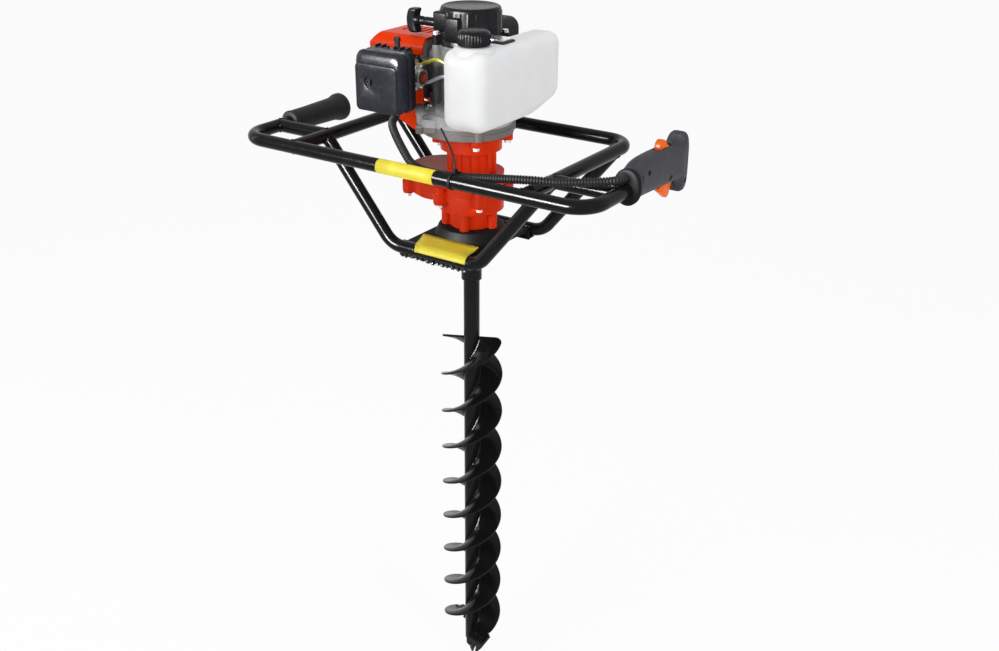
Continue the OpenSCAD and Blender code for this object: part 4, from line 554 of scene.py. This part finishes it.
handle_at = Vector((297, 0, 959.5))
handle_sides = 64
handle_rings = []
for y, high, low, half, power in (
        (-72, 26, -18.5, 16.6, 2.1), (-71.3, 28, -20.5, 18.8, 2.1), (-70, 29, -21.5, 19.8, 2.1),
        (-65, 29, -21.5, 19.8, 2.1), (-63, 28.6, -20.8, 19.4, 2.1), (-61, 27.8, -18.8, 18.4, 2.2),
        (-58.5, 27.8, -16.8, 17.6, 2.3), (-55, 29.2, -15.4, 18.2, 2.4), (-50, 32, -15, 17.3, 2.5),
        (-45, 34.3, -15.2, 17, 2.6), (-38, 35.9, -15.6, 17, 2.6), (-30, 36.6, -16, 17, 2.6),
        (-15, 37, -16.8, 17, 2.6), (0, 37, -17.5, 17.1, 2.6), (20, 36, -18.4, 17.4, 2.6),
        (44, 34.4, -19.4, 18, 2.7), (56, 33.8, -20, 18.5, 2.8), (64, 34.2, -21.5, 18.8, 2.9),
        (69, 35.6, -26, 18.4, 3.1), (72, 38, -32.5, 17.6, 3.4), (74, 41.5, -37.5, 16.8, 3.8),
        (76, 44.3, -40, 16.2, 4), (78, 45.6, -40.8, 16, 4), (83, 46, -41, 16, 4),
        (85, 45.4, -40.4, 15.4, 4), (86, 43.5, -38.5, 13.5, 4)):
    ring = []
    for a in (2 * math.pi * k / handle_sides for k in range(handle_sides)):
        c, s = math.cos(a), math.sin(a)
        across = half * math.copysign(abs(c) ** (2 / power), c)
        up = (high - low) / 2 * math.copysign(abs(s) ** (2 / power), s)
        ring.append((handle_at + Vector((across, y, (high + low) / 2 + up))) / 1000)
    handle_rings.append(ring)
tools = [mesh_of("tool", *brick(handle_at + Vector(low), handle_at + Vector(high)))
         for low, high in (((-4.5, 8, -60), (4.5, 72, 8)), ((-5.5, 4, 14), (5.5, 60, 60)),
                           ((13, -57.6, 9), (30, -56.2, 19)), ((13, -57.6, -10), (30, -56.2, -6)))]
for y, z in ((-38, 18), (30, -6), (79, -22)):
    tools.append(round_tool(0.004, 0, 0.03, 32, turn_to((1, 0, 0), (0.307, y / 1000, frame_z + z / 1000))))
tools.append(round_tool(0.0101, -0.08, 0.0, 48, turn_to((0, 1, 0), (hook_x, 0.008, frame_z))))
tools.append(round_tool(0.0062, -0.02, 0.008, 32, turn_to((0, 1, 0), (0.294, -0.072, 0.977))))
handle_form = carved(mesh_of("handle", *loft(handle_rings)), *tools)
nylon = finish("handle_nylon", (0.048, 0.048, 0.054), {"Specular IOR Level": 0.06})
nylon.wear((0.056, 0.056, 0.062), (0.42, 0.54), 1300, 0.00009)
past_collar = (nylon.along(1) + 0.0615).clip(-0.001, 0.001)
greys = nylon.mottle(104, (0.052, 0.052, 0.060), (0.061, 0.061, 0.070))
nylon.set({"Base Color": nylon.mix(past_collar, (0.010, 0.010, 0.012), greys)})
half_gap = 0.00015
for side, way in (("inner", -1), ("outer", 1)):
    handle_half = half_of(handle_form, hook_x + way * half_gap, way)
    piece(f"handle_half_{side}", handle_half, "frame", nylon, "handle_grey", f"handle_shell_{side}")
orange = finish("orange_nylon", (0.88, 0.14, 0.006), {"Specular IOR Level": 0.1})
orange.wear((0.82, 0.12, 0.005), (0.3, 0.4), 1200, 0.00006)
piece("trigger", softened("throttle_trigger", 0.0012), "trigger", orange, "orange_plastic",
      "throttle_trigger")
piece("lock", softened("lock_lever", 0.0014), "lock", orange, "orange_plastic", "lock_lever")


# The cable loom: split corrugated conduit in black nylon over the throttle cable and the switch wires.
# It leaves the collar of the handle, lies along the front rail under a nylon tie and climbs to the engine.
def spline(points, steps):
    """The smooth curve through a given route, as even steps."""
    ends = [points[0], *points, points[-1]]
    line = []
    for a, b, c, d in zip(ends, ends[1:], ends[2:], ends[3:]):
        for k in range(steps):
            t = k / steps
            line.append(0.5 * (2 * b + (c - a) * t + (2 * a - 5 * b + 4 * c - d) * t * t
                               + (3 * b - a - 3 * c + d) * t ** 3))
    return line + [points[-1]]


def route(*points):
    """Points given in millimetres."""
    return [Vector(p) / 1000 for p in points]


loom_route = route(
    (294, -66, 977), (294, -83, 977), (288, -98, 977.5), (266, -116, 977), (235, -138, 976.5),
    (198, -150, 976), (155, -157, 972), (115, -156, 966), (70, -154.6, 960), (30, -154.6, 960),
    (6, -153, 966), (-14, -146, 980), (-38, -132, 995), (-56, -116, 1003), (-64, -102, 1007),
    (-67, -90, 1013), (-68, -85, 1027), (-68, -85, 1047))
rib_pitch, rib_low, rib_high = 0.0041, 0.0046, 0.0061
rib = (0.0, 0.2, 0.9, 1.0, 0.9, 0.2)
loom_path, loom_length = walk(spline(loom_route, 24), 200)
rib_count = round(loom_length / rib_pitch)
loom_line = walk(spline(loom_route, 24), rib_count * len(rib) + 1)[0]
loom_radii = [rib_low + (rib_high - rib_low) * rib[k % len(rib)] for k in range(len(loom_line))]
conduit = finish("conduit_nylon", (0.022, 0.022, 0.024), {"Specular IOR Level": 0.07})
conduit.wear((0.028, 0.028, 0.030), (0.46, 0.54), 1500, 0.00005)
loom = shaped("cable_conduit", sleeve(loom_line, loom_radii, 14), "frame", conduit, "loom_plastic",
              "cable_loom")
strap = finish("tie_nylon", (0.006, 0.006, 0.007), {"Specular IOR Level": 0.06})
strap.wear((0.009, 0.009, 0.010), (0.6, 0.7), 900, 0.00003)
coat_nodes(strap, "cable_tie")


# The gearbox: two aluminium castings bolted round the edge, sprayed red, with steel gears inside.
# The upper one carries the neck and the clutch bell; the lower one stands on the plate on five bosses.
red = finish("red_paint", (0.78, 0.038, 0.003), {"Specular IOR Level": 0.06})
red.wear((0.74, 0.028, 0.002), (0.26, 0.36), 260, 0.0002, 0.0011)
facing = red.node("SeparateXYZ", {}, {0: red.node("NewGeometry", {}, {}, "Normal")}, 2)
height = red.along(2)
ledge_low, ledge_high, ledge_end = 0.9155, 0.9185, -0.012
# The upward faces of the ledge left of the neck get a paler, greyer red.
pale_ledge_top = (facing > 0.9) * (red.along(0) < ledge_end) * (height > ledge_low) * (height < ledge_high)
reds = red.mottle(20, (0.78, 0.038, 0.003), (0.69, 0.030, 0.002))
red.set({"Base Color": red.mix(pale_ledge_top, reds, (0.42, 0.10, 0.07))})
coat_nodes(red, "gearbox_lower_case", "gearbox_upper_case")
zinc = finish("zinc_plate", (0.80, 0.80, 0.81), {"Metallic": 1.0})
zinc.wear((0.68, 0.68, 0.70), (0.18, 0.32), 700, 0.00004, 0.0004)
plating = zinc.mottle(56, (0.80, 0.80, 0.81), (0.68, 0.68, 0.70))
# Painted shade: the screw deep in the filter's recess is darkened almost to black.
recess_screw_shade = zinc.along(1) < -0.118
zinc.set({"Base Color": zinc.mix(recess_screw_shade, plating, (0.03, 0.03, 0.03))})
coat_nodes(zinc, "gearbox_bolts", "engine_screws", "throttle_arm", "handle_pins", "coupling_pin")
steel = finish("ground_steel", (0.52, 0.52, 0.53), {"Metallic": 1.0})
steel.wear((0.44, 0.44, 0.45), (0.2, 0.34), 500, 0.00003, 0.0003)
coat_nodes(steel, "gear_bearings", "output_shaft", "output_gear", "countershaft", "countershaft_gear",
           "drive_pinion")


# The drill: steel tube with two flights wound round it and welded on, hardened teeth bolted to their feet
# and a pilot point, all dipped in gloss black enamel. A bolt through the socket holds it on the shaft.
enamel = finish("black_enamel", (0.007, 0.007, 0.008), {"Specular IOR Level": 0.1})
enamel.wear((0.009, 0.009, 0.010), (0.12, 0.22), 160, 0.00012)
coat_nodes(enamel, "auger_tube", "cutting_blades", "pilot_point", "blade_bolts")
lead, foot, top, corner = 0.1366, 0.074, 0.6365, 0.011
inner_r, rim_r, thick = 0.0128, 0.05, 0.004
mark_z, mark_turn = 0.6008, math.radians(112.3)
turn_steps, end_steps, end_high = 460, 16, 0.0045
flight_section = (
    (inner_r, 0), (0.030, 0), (0.0485, 0), (0.0496, 0.0006), (rim_r, thick / 2), (0.0496, 0.0034),
    (0.0485, thick), (0.030, thick), (inner_r, thick))


def heading(z, start):
    """The angle round the tube of a flight's edge at a height."""
    return 2 * math.pi * (z - mark_z) / lead + mark_turn + start


def wound(r, z, start):
    """A point on a flight."""
    a = heading(z, start)
    return Vector((r * math.cos(a), r * math.sin(a), z))


heights = [foot + (top - end_high - foot) * k / turn_steps for k in range(turn_steps)]
heights += [top - end_high * (1 - k / end_steps) ** 2 for k in range(end_steps + 1)]
flights = []
for start in (0, math.pi):
    rings = []
    for z in heights:
        left = min(math.hypot(2 * math.pi * rim_r, lead) / lead * (top - z), corner)
        cut = corner - math.sqrt(corner ** 2 - (corner - left) ** 2)
        share = 1 - cut / (rim_r - inner_r)
        rings.append([wound(inner_r + share * (r - inner_r), z, start) + Vector((0, 0, lift))
                      for r, lift in flight_section])
    flights.append(loft(rings))
    for lift in (0.0002, 0.0038):
        seam = [wound(0.0131, foot + 0.004 + (top - foot - 0.008) * k / 400, start) + Vector((0, 0, lift))
                for k in range(401)]
        flights.append(bead(seam, 0.0034, rng))
    stand = (Matrix.Translation((0, 0, foot)) @ Matrix.Rotation(heading(foot, start), 4, "Z")
             @ Matrix.Rotation(math.radians(33), 4, "X"))
    points, faces = brick((15.7, -20, 0.05), (48, 2, 4))
    flights.append(([stand @ p for p in points], faces))
shaped("drill_flights", joined(*flights), "auger", enamel, "drill_black", "auger_flights")


# Clutch, crank and flywheel: turned steel and cast alloy on one upright axis.
# The clutch bell and the fan housing close them in; the silencer shares their dark steel.
dark_steel = finish("dark_steel", (0.32, 0.32, 0.33), {"Metallic": 1.0})
dark_steel.wear((0.25, 0.25, 0.26), (0.3, 0.45), 600, 0.00004, 0.0004)
coat_nodes(dark_steel, "clutch_drum", "clutch_shoes", "crankshaft", "muffler")
alloy = finish("flywheel_alloy", (0.6, 0.6, 0.61), {"Metallic": 1.0})
alloy.wear((0.5, 0.5, 0.51), (0.35, 0.5), 400, 0.00008, 0.0006)
coat_nodes(alloy, "flywheel")


# Fan housing, crankcase and cylinder: die-cast aluminium, shot blasted to a pale grain.
# The bottom rim of the fan housing is painted a darker grey-brown, as painted shade; the corner post holds
# the shroud.
cast = finish("blasted_casting", (0.34, 0.34, 0.35), {"Metallic": 0.0, "Specular IOR Level": 0.12})
cast.wear((0.43, 0.43, 0.44), (0.42, 0.56), 900, 0.00022, 0.0012)
height = cast.along(2)
# Painted shade: between these heights the castings are darkened almost to black, for the shadow behind the
# carburettor.
painted_shade_band = height.clip(1.012, 1.022) * (1 - height.clip(1.072, 1.084)) * 0.85
grain = cast.mottle(70, (0.36, 0.36, 0.37), (0.48, 0.48, 0.49))
walls = cast.mix(painted_shade_band, grain, (0.05, 0.05, 0.054))
# Painted shade: the bottom rim of the fan housing, on its underside, is darkened.
shaded_bottom_rim = height < 0.9925
cast.set({"Base Color": cast.mix(shaded_bottom_rim, walls, (0.19, 0.175, 0.165))})
coat_nodes(cast, "fan_housing", "crankcase", "cylinder_barrel")


# The cylinder shroud: glossy red-orange plastic, moulded in one piece and screwed to the crankcase.
# It leads the fan's air over the cylinder; the spark plug and its rubber boot stick out behind.
shell = finish("red_shell", (0.82, 0.046, 0.003), {"Specular IOR Level": 0.025})
shell.wear((0.80, 0.040, 0.003), (0.22, 0.3), 1000, 0.00003, 0.0016)
coat_nodes(shell, "cylinder_shroud")
ceramic = finish("plug_ceramic", (0.8, 0.8, 0.77), {"Specular IOR Level": 0.5})
ceramic.wear((0.72, 0.72, 0.7), (0.12, 0.2), 300, 0.00003, 0.0004)
coat_nodes(ceramic, "spark_plug")
piece("boot", softened("plug_boot", 0.0008), "frame", rubber, "grip_rubber", "plug_boot")


# Carburettor and intake: bright die-cast zinc bolted on a black phenolic block.
# A bright cover with four screws holds the red-brown rubber primer bulb on its right side.
bright = finish("bright_casting", (0.56, 0.56, 0.56), {"Metallic": 0.7})
bright.wear((0.46, 0.46, 0.46), (0.2, 0.38), 800, 0.00016, 0.0006)
coat_nodes(bright, "carburettor")
black = finish("black_plastic", (0.009, 0.009, 0.010), {"Specular IOR Level": 0.11})
black.wear((0.011, 0.011, 0.013), (0.26, 0.36), 1100, 0.00006, 0.0008)
coat_nodes(black, "intake_block", "choke_lever", "starter_pulley", "filter_base")
bulb = finish("primer_rubber", (0.36, 0.035, 0.02), {"Specular IOR Level": 0.15})
bulb.wear((0.28, 0.028, 0.018), (0.2, 0.3), 500, 0.00004)
bulb_x, bulb_y, bulb_z = -0.03795, -0.075, 1.065
off_y, off_z = bulb.along(1) - bulb_y, bulb.along(2) - bulb_z
rim = (off_y * off_y + off_z * off_z).clip(0.0045 ** 2, 0.0068 ** 2)
bulb.set({"Base Color": bulb.mix(rim, (0.42, 0.045, 0.025), (0.09, 0.018, 0.014))})
dome = eased([(0.002, 0.004), (0.009, 0.004), (0.009, 0.0062), (0.0084, 0.0084), (0.0066, 0.0104),
              (0.004, 0.0116), (0.0008, 0.0118)], 0.0012)
shaped("primer_dome", turned(dome, 48, turn_to((1, 0, 0), (bulb_x, bulb_y, bulb_z))), "primer", bulb,
       "primer_red", "primer_bulb")
cover_place = Matrix(((0, 0, 1, -0.0382), (1, 0, 0, -0.0765), (0, 1, 0, bulb_z), (0, 0, 0, 1)))
cover_steps = ((1, -2), (0, -1.5), (0, 0.1), (0.5, 0.4), (1.4, 0.6))
cover = [pressed([(0, 0, 22 - d, 36 - d, 6.5 - d / 2, h) for d, h in cover_steps], cover_place)]
screw = eased([(0.0004, -0.0005), (0.0025, -0.0005), (0.0025, 0.0020), (0.0016, 0.0028), (0.0004, 0.0028)],
              0.0005)
for y, z in ((-0.007, -0.0145), (-0.007, 0.0145), (0.007, -0.0145), (0.007, 0.0145)):
    cover.append(turned(screw, 24, cover_place @ Matrix.Translation((y, z, 0))))
chrome = finish("bright_cover", (0.86, 0.86, 0.84), {"Metallic": 1.0})
chrome.wear((0.70, 0.69, 0.66), (0.1, 0.22), 500, 0.00025)
shaped("primer_cover", joined(*cover), "frame", chrome, "steel")


# The air filter: a glossy black moulded box over a foam block, with stepped sides.
# One screw in the round recess of its raised front panel holds it on its base.
filter_x, filter_z = -0.068, 1.063
filter_place = Matrix(((1, 0, 0, filter_x), (0, 0, -1, -0.1041), (0, 1, 0, filter_z), (0, 0, 0, 1)))
body = pressed([
    (0, 0, 79, 85, 11.5, 0), (0, 0, 80, 86, 12, 0.6), (0, 0, 80, 86, 12, 5.8), (0, 0, 79.2, 85.2, 11.6, 6.7),
    (0, 0, 75.6, 81.6, 10.4, 7.1), (0, 0, 75, 81, 10, 8.4), (0, 0, 75, 81, 10, 13.6),
    (0, 0, 75.6, 81.6, 10.4, 14.9), (0, 0, 79.2, 85.2, 12, 15.4), (0, 0, 80, 86, 12.4, 16.4),
    (0, 0, 80, 86, 12.4, 21), (0, -0.4, 79.4, 85, 13, 23), (0, -1.2, 77.6, 82, 13, 25),
    (0, -2.4, 74, 77, 12.6, 26.8), (0, -4, 69, 71, 11, 27.8), (0, -5, 62, 64, 9, 28.2)], filter_place)
raised = [(-0.5, -7.4, 73 - d, 67 - d, radius, depth) for d, radius, depth in (
    (0, 7, 25), (0, 7, 29.4), (0.6, 6.8, 30.2), (2, 6.2, 30.8), (3.4, 5.6, 31))]
recess = [(-12.5, 0, wide, wide, radius, depth) for wide, radius, depth in (
    (18, 8.9, 31), (17, 8.4, 30.8), (16.2, 8, 30.2), (15.4, 7.6, 26.4), (5.2, 2.5, 26.2))]
panel = pressed(raised + recess, filter_place)
crease = sleeve(
    [filter_place @ (Vector(p) / 1000) for p in ((-33, 15, 30.9), (-27, 10, 30.9), (-20.5, 5, 30.8))],
    [0.0006, 0.0009, 0.0008], 10)
gloss = finish("gloss_black", (0.019, 0.021, 0.029), {"Specular IOR Level": 0.12})
gloss.wear((0.023, 0.025, 0.034), (0.2, 0.3), 900, 0.00005)
shaped("filter_box", joined(body, panel, crease), "frame", gloss, "black_plastic", "filter_cover", crease=30)
sponge_rings = []
for d, inset in ((0, 2), (0.6, 0.6), (2, 0), (5, 0), (8, 0), (11, 0), (14, 0), (17, 0), (19, 0.6), (20.5, 2)):
    middle = Vector((filter_x, -0.0992 - d / 1000, filter_z))
    sponge_rings.append([middle + Vector((p.x, rng.uniform(-0.2, 0.2), p.y)) / 1000
                         for p in rounded(63 - inset + rng.uniform(-0.4, 0.4), 69 - inset, 6)])
foam = finish("oiled_foam", (0.16, 0.15, 0.08), {"Specular IOR Level": 0.2})
foam.wear((0.11, 0.10, 0.055), (0.85, 0.95), 900, 0.0006)
shaped("foam_block", loft(sponge_rings), "frame", foam, "foam", "filter_element")


# The recoil starter: a moulded cup with upright flutes and a stepped outlet, screwed on by four lugs.
# A braided rope runs from the pulley through the outlet tube to an arched handle.
def pillow(low, high, edge):
    """A block between two corners in millimetres, with rounded edges."""
    centre = Vector((low[0] + high[0], low[1] + high[1], 0)) / 2
    wide, tall, deep = high[0] - low[0], high[1] - low[1], high[2] - low[2]
    sections = []
    for t in (0, 30, 60, 90):
        inset, depth = edge * (1 - math.sin(math.radians(t))), edge * (1 - math.cos(math.radians(t)))
        sections.append((inset, depth))
    sections += [(inset, deep - depth) for inset, depth in sections[::-1]]
    return pressed([(centre.x, centre.y, wide - 2 * i, tall - 2 * i, max(edge * 1.05 - i, 0.4), low[2] + d)
                    for i, d in sections], Matrix())


def fluted(a, r, h):
    """Upright flutes on the wall of the cup."""
    return 0.0008 * max(0, math.cos(24 * a)) ** 5 if r > 0.0434 and 0.0095 < h < 0.048 else 0


def at(x, y, z):
    """A move given in millimetres."""
    return Matrix.Translation((x / 1000, y / 1000, z / 1000))


cup_z, rope_y, rope_z = 1105.05, -0.032, 1.135
cup = [(0.002, 0.050), (0.0405, 0.050), (0.0405, 0.0004), (0.0450, 0.0), (0.0450, 0.0062), (0.0440, 0.0078),
       (0.0439, 0.0094), (0.0438, 0.0100), (0.0438, 0.0476), (0.0437, 0.0482), (0.0434, 0.0503),
       (0.0424, 0.0524), (0.0405, 0.0536), (0.0385, 0.0539), (0.0375, 0.0534), (0.002, 0.0535)]
cup_parts = [turned(cup, 192, at(0, 0, cup_z), fluted)]
cup_parts.append(pillow((-38, -41, 1125), (2, -23, 1152), 3))
cup_parts.append(pillow((-12, -50, 1113.2), (13, -28, 1148), 3.5))
guide = eased([(0.0024, 0.004), (0.0064, 0.004), (0.0064, -0.018), (0.0056, -0.019), (0.0056, -0.021),
               (0.0066, -0.0225), (0.0066, -0.0262), (0.0055, -0.027), (0.0024, -0.027), (0.0024, 0.002)],
              0.0008)
cup_parts.append(turned(guide, 40, turn_to((1, 0, 0), (-0.038, rope_y, rope_z))))
boss = ((0.0028, 0), (0.006, 0), (0.006, 0.0132), (0.0054, 0.01385), (0.0028, 0.01385), (0.0028, 0.0))
boss_ring = 50
for k in range(4):
    a = math.radians(45 + 90 * k)
    lug = Matrix.Rotation(a, 4, "Z")
    points, faces = pillow((37, -5.9, cup_z), (50.5, 5.9, 1118.9), 1.5)
    cup_parts.append(([lug @ p for p in points], faces))
    cup_parts.append(turned(boss, 32, at(boss_ring * math.cos(a), boss_ring * math.sin(a), cup_z)))
satin = finish("satin_black", (0.011, 0.011, 0.013), {"Specular IOR Level": 0.07})
satin.wear((0.013, 0.013, 0.015), (0.22, 0.32), 1200, 0.00008)
shaped("starter_cup", joined(*cup_parts), "frame", satin, "black_plastic", "starter_housing", crease=35)
bar_half, bar_straight, bar_end = 17, 14, 3.5
hub_x, bar_off, bar_arch, rib_step = -65.3, 13.4, 4.5, 0.5
bar = []
for k in range(2 * bar_half + 1):
    z = k - bar_half
    inset = max(0, abs(z) - bar_straight)
    trim = bar_end - math.sqrt(max(0, bar_end ** 2 - inset * inset))
    wide, deep = 15 - 2 * trim + rib_step * (k % 2), 16 - 2 * trim
    centre = Vector((hub_x - bar_off + bar_arch * (z / bar_half) ** 2, 1000 * rope_y, 1000 * rope_z + z))
    bar.append([(centre + p) / 1000 for p in rounded(wide, deep, min(3.4, wide / 2 - 0.3))])
hub = eased([(0.002, 0.002), (0.002, 0), (0.006, 0), (0.008, 0.004), (0.008, 0.013), (0.002, 0.013)], 0.0012)
hub_form = turned(hub, 40, turn_to((-1, 0, 0), (hub_x / 1000, rope_y, rope_z)))
shaped("pull_handle", joined(loft(bar), hub_form), "starter_pull", satin, "black_plastic", "starter_handle",
       crease=35)
rope_start, rope_length, rope_steps = -0.002, 0.0655, 160
rope_line = [Vector((rope_start - rope_length * k / rope_steps, rope_y, rope_z))
             for k in range(rope_steps + 1)]
rope_radii = [0.00165 + 0.0001 * (k % 2) for k in range(rope_steps + 1)]
rope_mesh = mesh_of("rope", *sleeve(rope_line, rope_radii, 12))
cotton = finish("braided_rope", (0.62, 0.60, 0.55), {"Specular IOR Level": 0.2})
cotton.wear((0.45, 0.43, 0.38), (0.75, 0.9), 2600, 0.0003)
rope_mesh.materials.append(cotton.owner)
rope = bpy.data.objects.new("starter_cord", rope_mesh)
bpy.context.scene.collection.objects.link(rope)
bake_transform(rope)
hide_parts("starter_rope")


# The fuel tank: milky blown polyethylene with a raised shoulder round its neck and a sloped underside.
# A zinc bracket on a rubber pad holds it down, a ribbed cap closes it, and two vinyl hoses leave it.
def bent(t):
    """0 below 0, 1 above 1, an even curve between."""
    t = min(max(t, 0), 1)
    return t * t * (3 - 2 * t)


tank_rings = []
tank_front, tank_back, tank_edge = -128.4, 86, 20
tank_left, tank_right, tank_low, tank_top = 35.2, 103.6, 1011.6, 1121.6
waist, waist_from, waist_long = 16.6, -72, 20
slope, slope_from = math.tan(math.radians(14)), 13
edge_steps = [(tank_edge * (1 - math.cos(math.radians(t))), tank_edge * (1 - math.sin(math.radians(t))))
              for t in range(0, 91, 10)]
tank_steps = [(tank_front + depth, inset) for depth, inset in edge_steps]
tank_steps += [(y, 0) for y in (
    -100, -90, -80, -72, -68, -64, -60, -56, -52, -48, -40, -30, -15, 0, 8, 13, 18, 24, 32, 45, 58)]
tank_steps += [(tank_back - depth, inset) for depth, inset in edge_steps[::-1]]
for y, inset in tank_steps:
    near = tank_left + waist * bent((y - waist_from) / waist_long) + inset
    rise = max(y - slope_from, 0) + 3 * math.exp(-abs(y - slope_from) / 5)
    low = tank_low + inset + slope * rise
    wide, tall = tank_right - inset - near, tank_top - inset - low
    tank_rings.append([Vector((near + wide / 2 + p.x, y, low + tall / 2 + p.y)) / 1000
                       for p in rounded(wide, tall, max(16 - 0.7 * inset, 2))])
neck = (69.3, -93)
shoulder = eased([
    (0.0138, 1.112), (0.0305, 1.112), (0.0302, 1.1166), (0.0288, 1.1202), (0.0258, 1.1232), (0.0225, 1.1250),
    (0.0165, 1.1250), (0.0165, 1.1369), (0.0138, 1.1369), (0.0138, 1.112)], 0.002)
bore = round_tool(0.0138, 1.09, 1.16, 64, at(*neck, 0))
milk = finish("milky_polyethylene", (0.86, 0.865, 0.87), {
    "Subsurface Weight": 0.35, "Subsurface Scale": 0.012, "Subsurface Radius": (1.0, 0.95, 0.9),
    "Specular IOR Level": 0.06})
milk.wear((0.83, 0.835, 0.845), (0.34, 0.44), 350, 0.00005)
tank = carved(mesh_of("tank_blow_moulding", *loft(tank_rings), 30), bore)
piece("tank_blow_moulding", tank, "frame", milk, "tank_white", "fuel_tank")
shaped("tank_shoulder", turned(shoulder, 64, at(*neck, 0)), "frame", milk, "tank_white", "fuel_tank",
       crease=30)
cap_profile = ((0.002, 0.0122), (0.0173, 0.0122), (0.0173, 0.0004), (0.0212, 0.0), (0.0220, 0.0009),
               (0.0220, 0.0022), (0.0220, 0.0146), (0.0217, 0.0160), (0.0206, 0.0178), (0.0188, 0.0192),
               (0.0170, 0.0198), (0.0160, 0.0192), (0.002, 0.0194))


def ribbed(a, r, h):
    """Upright ribs on the wall of the cap."""
    return 0.0009 * max(0, math.cos(36 * a)) ** 0.7 if r > 0.0219 and 0.0015 < h < 0.0155 else 0


shaped("filler_cap", turned(cap_profile, 288, at(*neck, 1126.2), ribbed), "cap", satin, "black_plastic",
       "tank_cap", crease=35)
seal = ((0.0124, 0.0002), (0.0128, 0), (0.0166, 0), (0.0169, 0.0003), (0.0169, 0.0008), (0.0166, 0.0011),
        (0.0128, 0.0011), (0.0124, 0.0009), (0.0124, 0.0002))
shaped("gasket", turned(seal, 64, at(*neck, 1137.05)), "cap_lift", rubber, "grip_rubber", "cap_gasket")
piece("pad", softened("tank_pad", 0.0007), "frame", rubber, "grip_rubber", "tank_pad")
coat_nodes(zinc, "tank_bracket")
yellow_vinyl = finish("yellow_vinyl", (0.60, 0.60, 0.06), {"Transmission Weight": 0.3, "IOR": 1.45})
yellow_vinyl.wear((0.52, 0.55, 0.05), (0.16, 0.26), 300, 0.00004)
clear_vinyl = finish("clear_vinyl", (0.48, 0.48, 0.53), {"Transmission Weight": 0.3, "IOR": 1.45})
clear_vinyl.wear((0.40, 0.40, 0.45), (0.16, 0.26), 300, 0.00004)
upper_route = route((36, -66, 1081), (30, -66, 1081), (13, -68, 1085), (-10, -69, 1092), (-32, -63, 1085),
                    (-46.7, -60, 1079), (-52.7, -60, 1079))
lower_route = route((36, -58, 1069), (30, -58, 1069), (13, -60, 1071), (-8, -64, 1067), (-30, -62, 1057),
                    (-46.7, -60, 1053), (-52.7, -60, 1053))
hose_wide, hose_steps = 0.0052, 80
for name, points, vinyl in (("fuel_hose_upper", upper_route, yellow_vinyl),
                            ("fuel_hose_lower", lower_route, clear_vinyl)):
    hose_line, hose_length = walk(spline(points, 16), hose_steps)
    hose = shaped(name, sleeve(hose_line, [hose_wide / 2] * hose_steps, 16), "frame", vinyl, "hose_yellow",
                  "fuel_lines")


# The muffler guard: a black heat-proof moulding with slots for the air, over the steel silencer.
# It sits against the shroud behind the cylinder and shows only its edge from the front.
guard = finish("heat_proof_black", (0.011, 0.011, 0.012), {"Specular IOR Level": 0.1})
guard.wear((0.02, 0.02, 0.021), (0.45, 0.6), 700, 0.00018, 0.0015)
coat_nodes(guard, "muffler_guard")
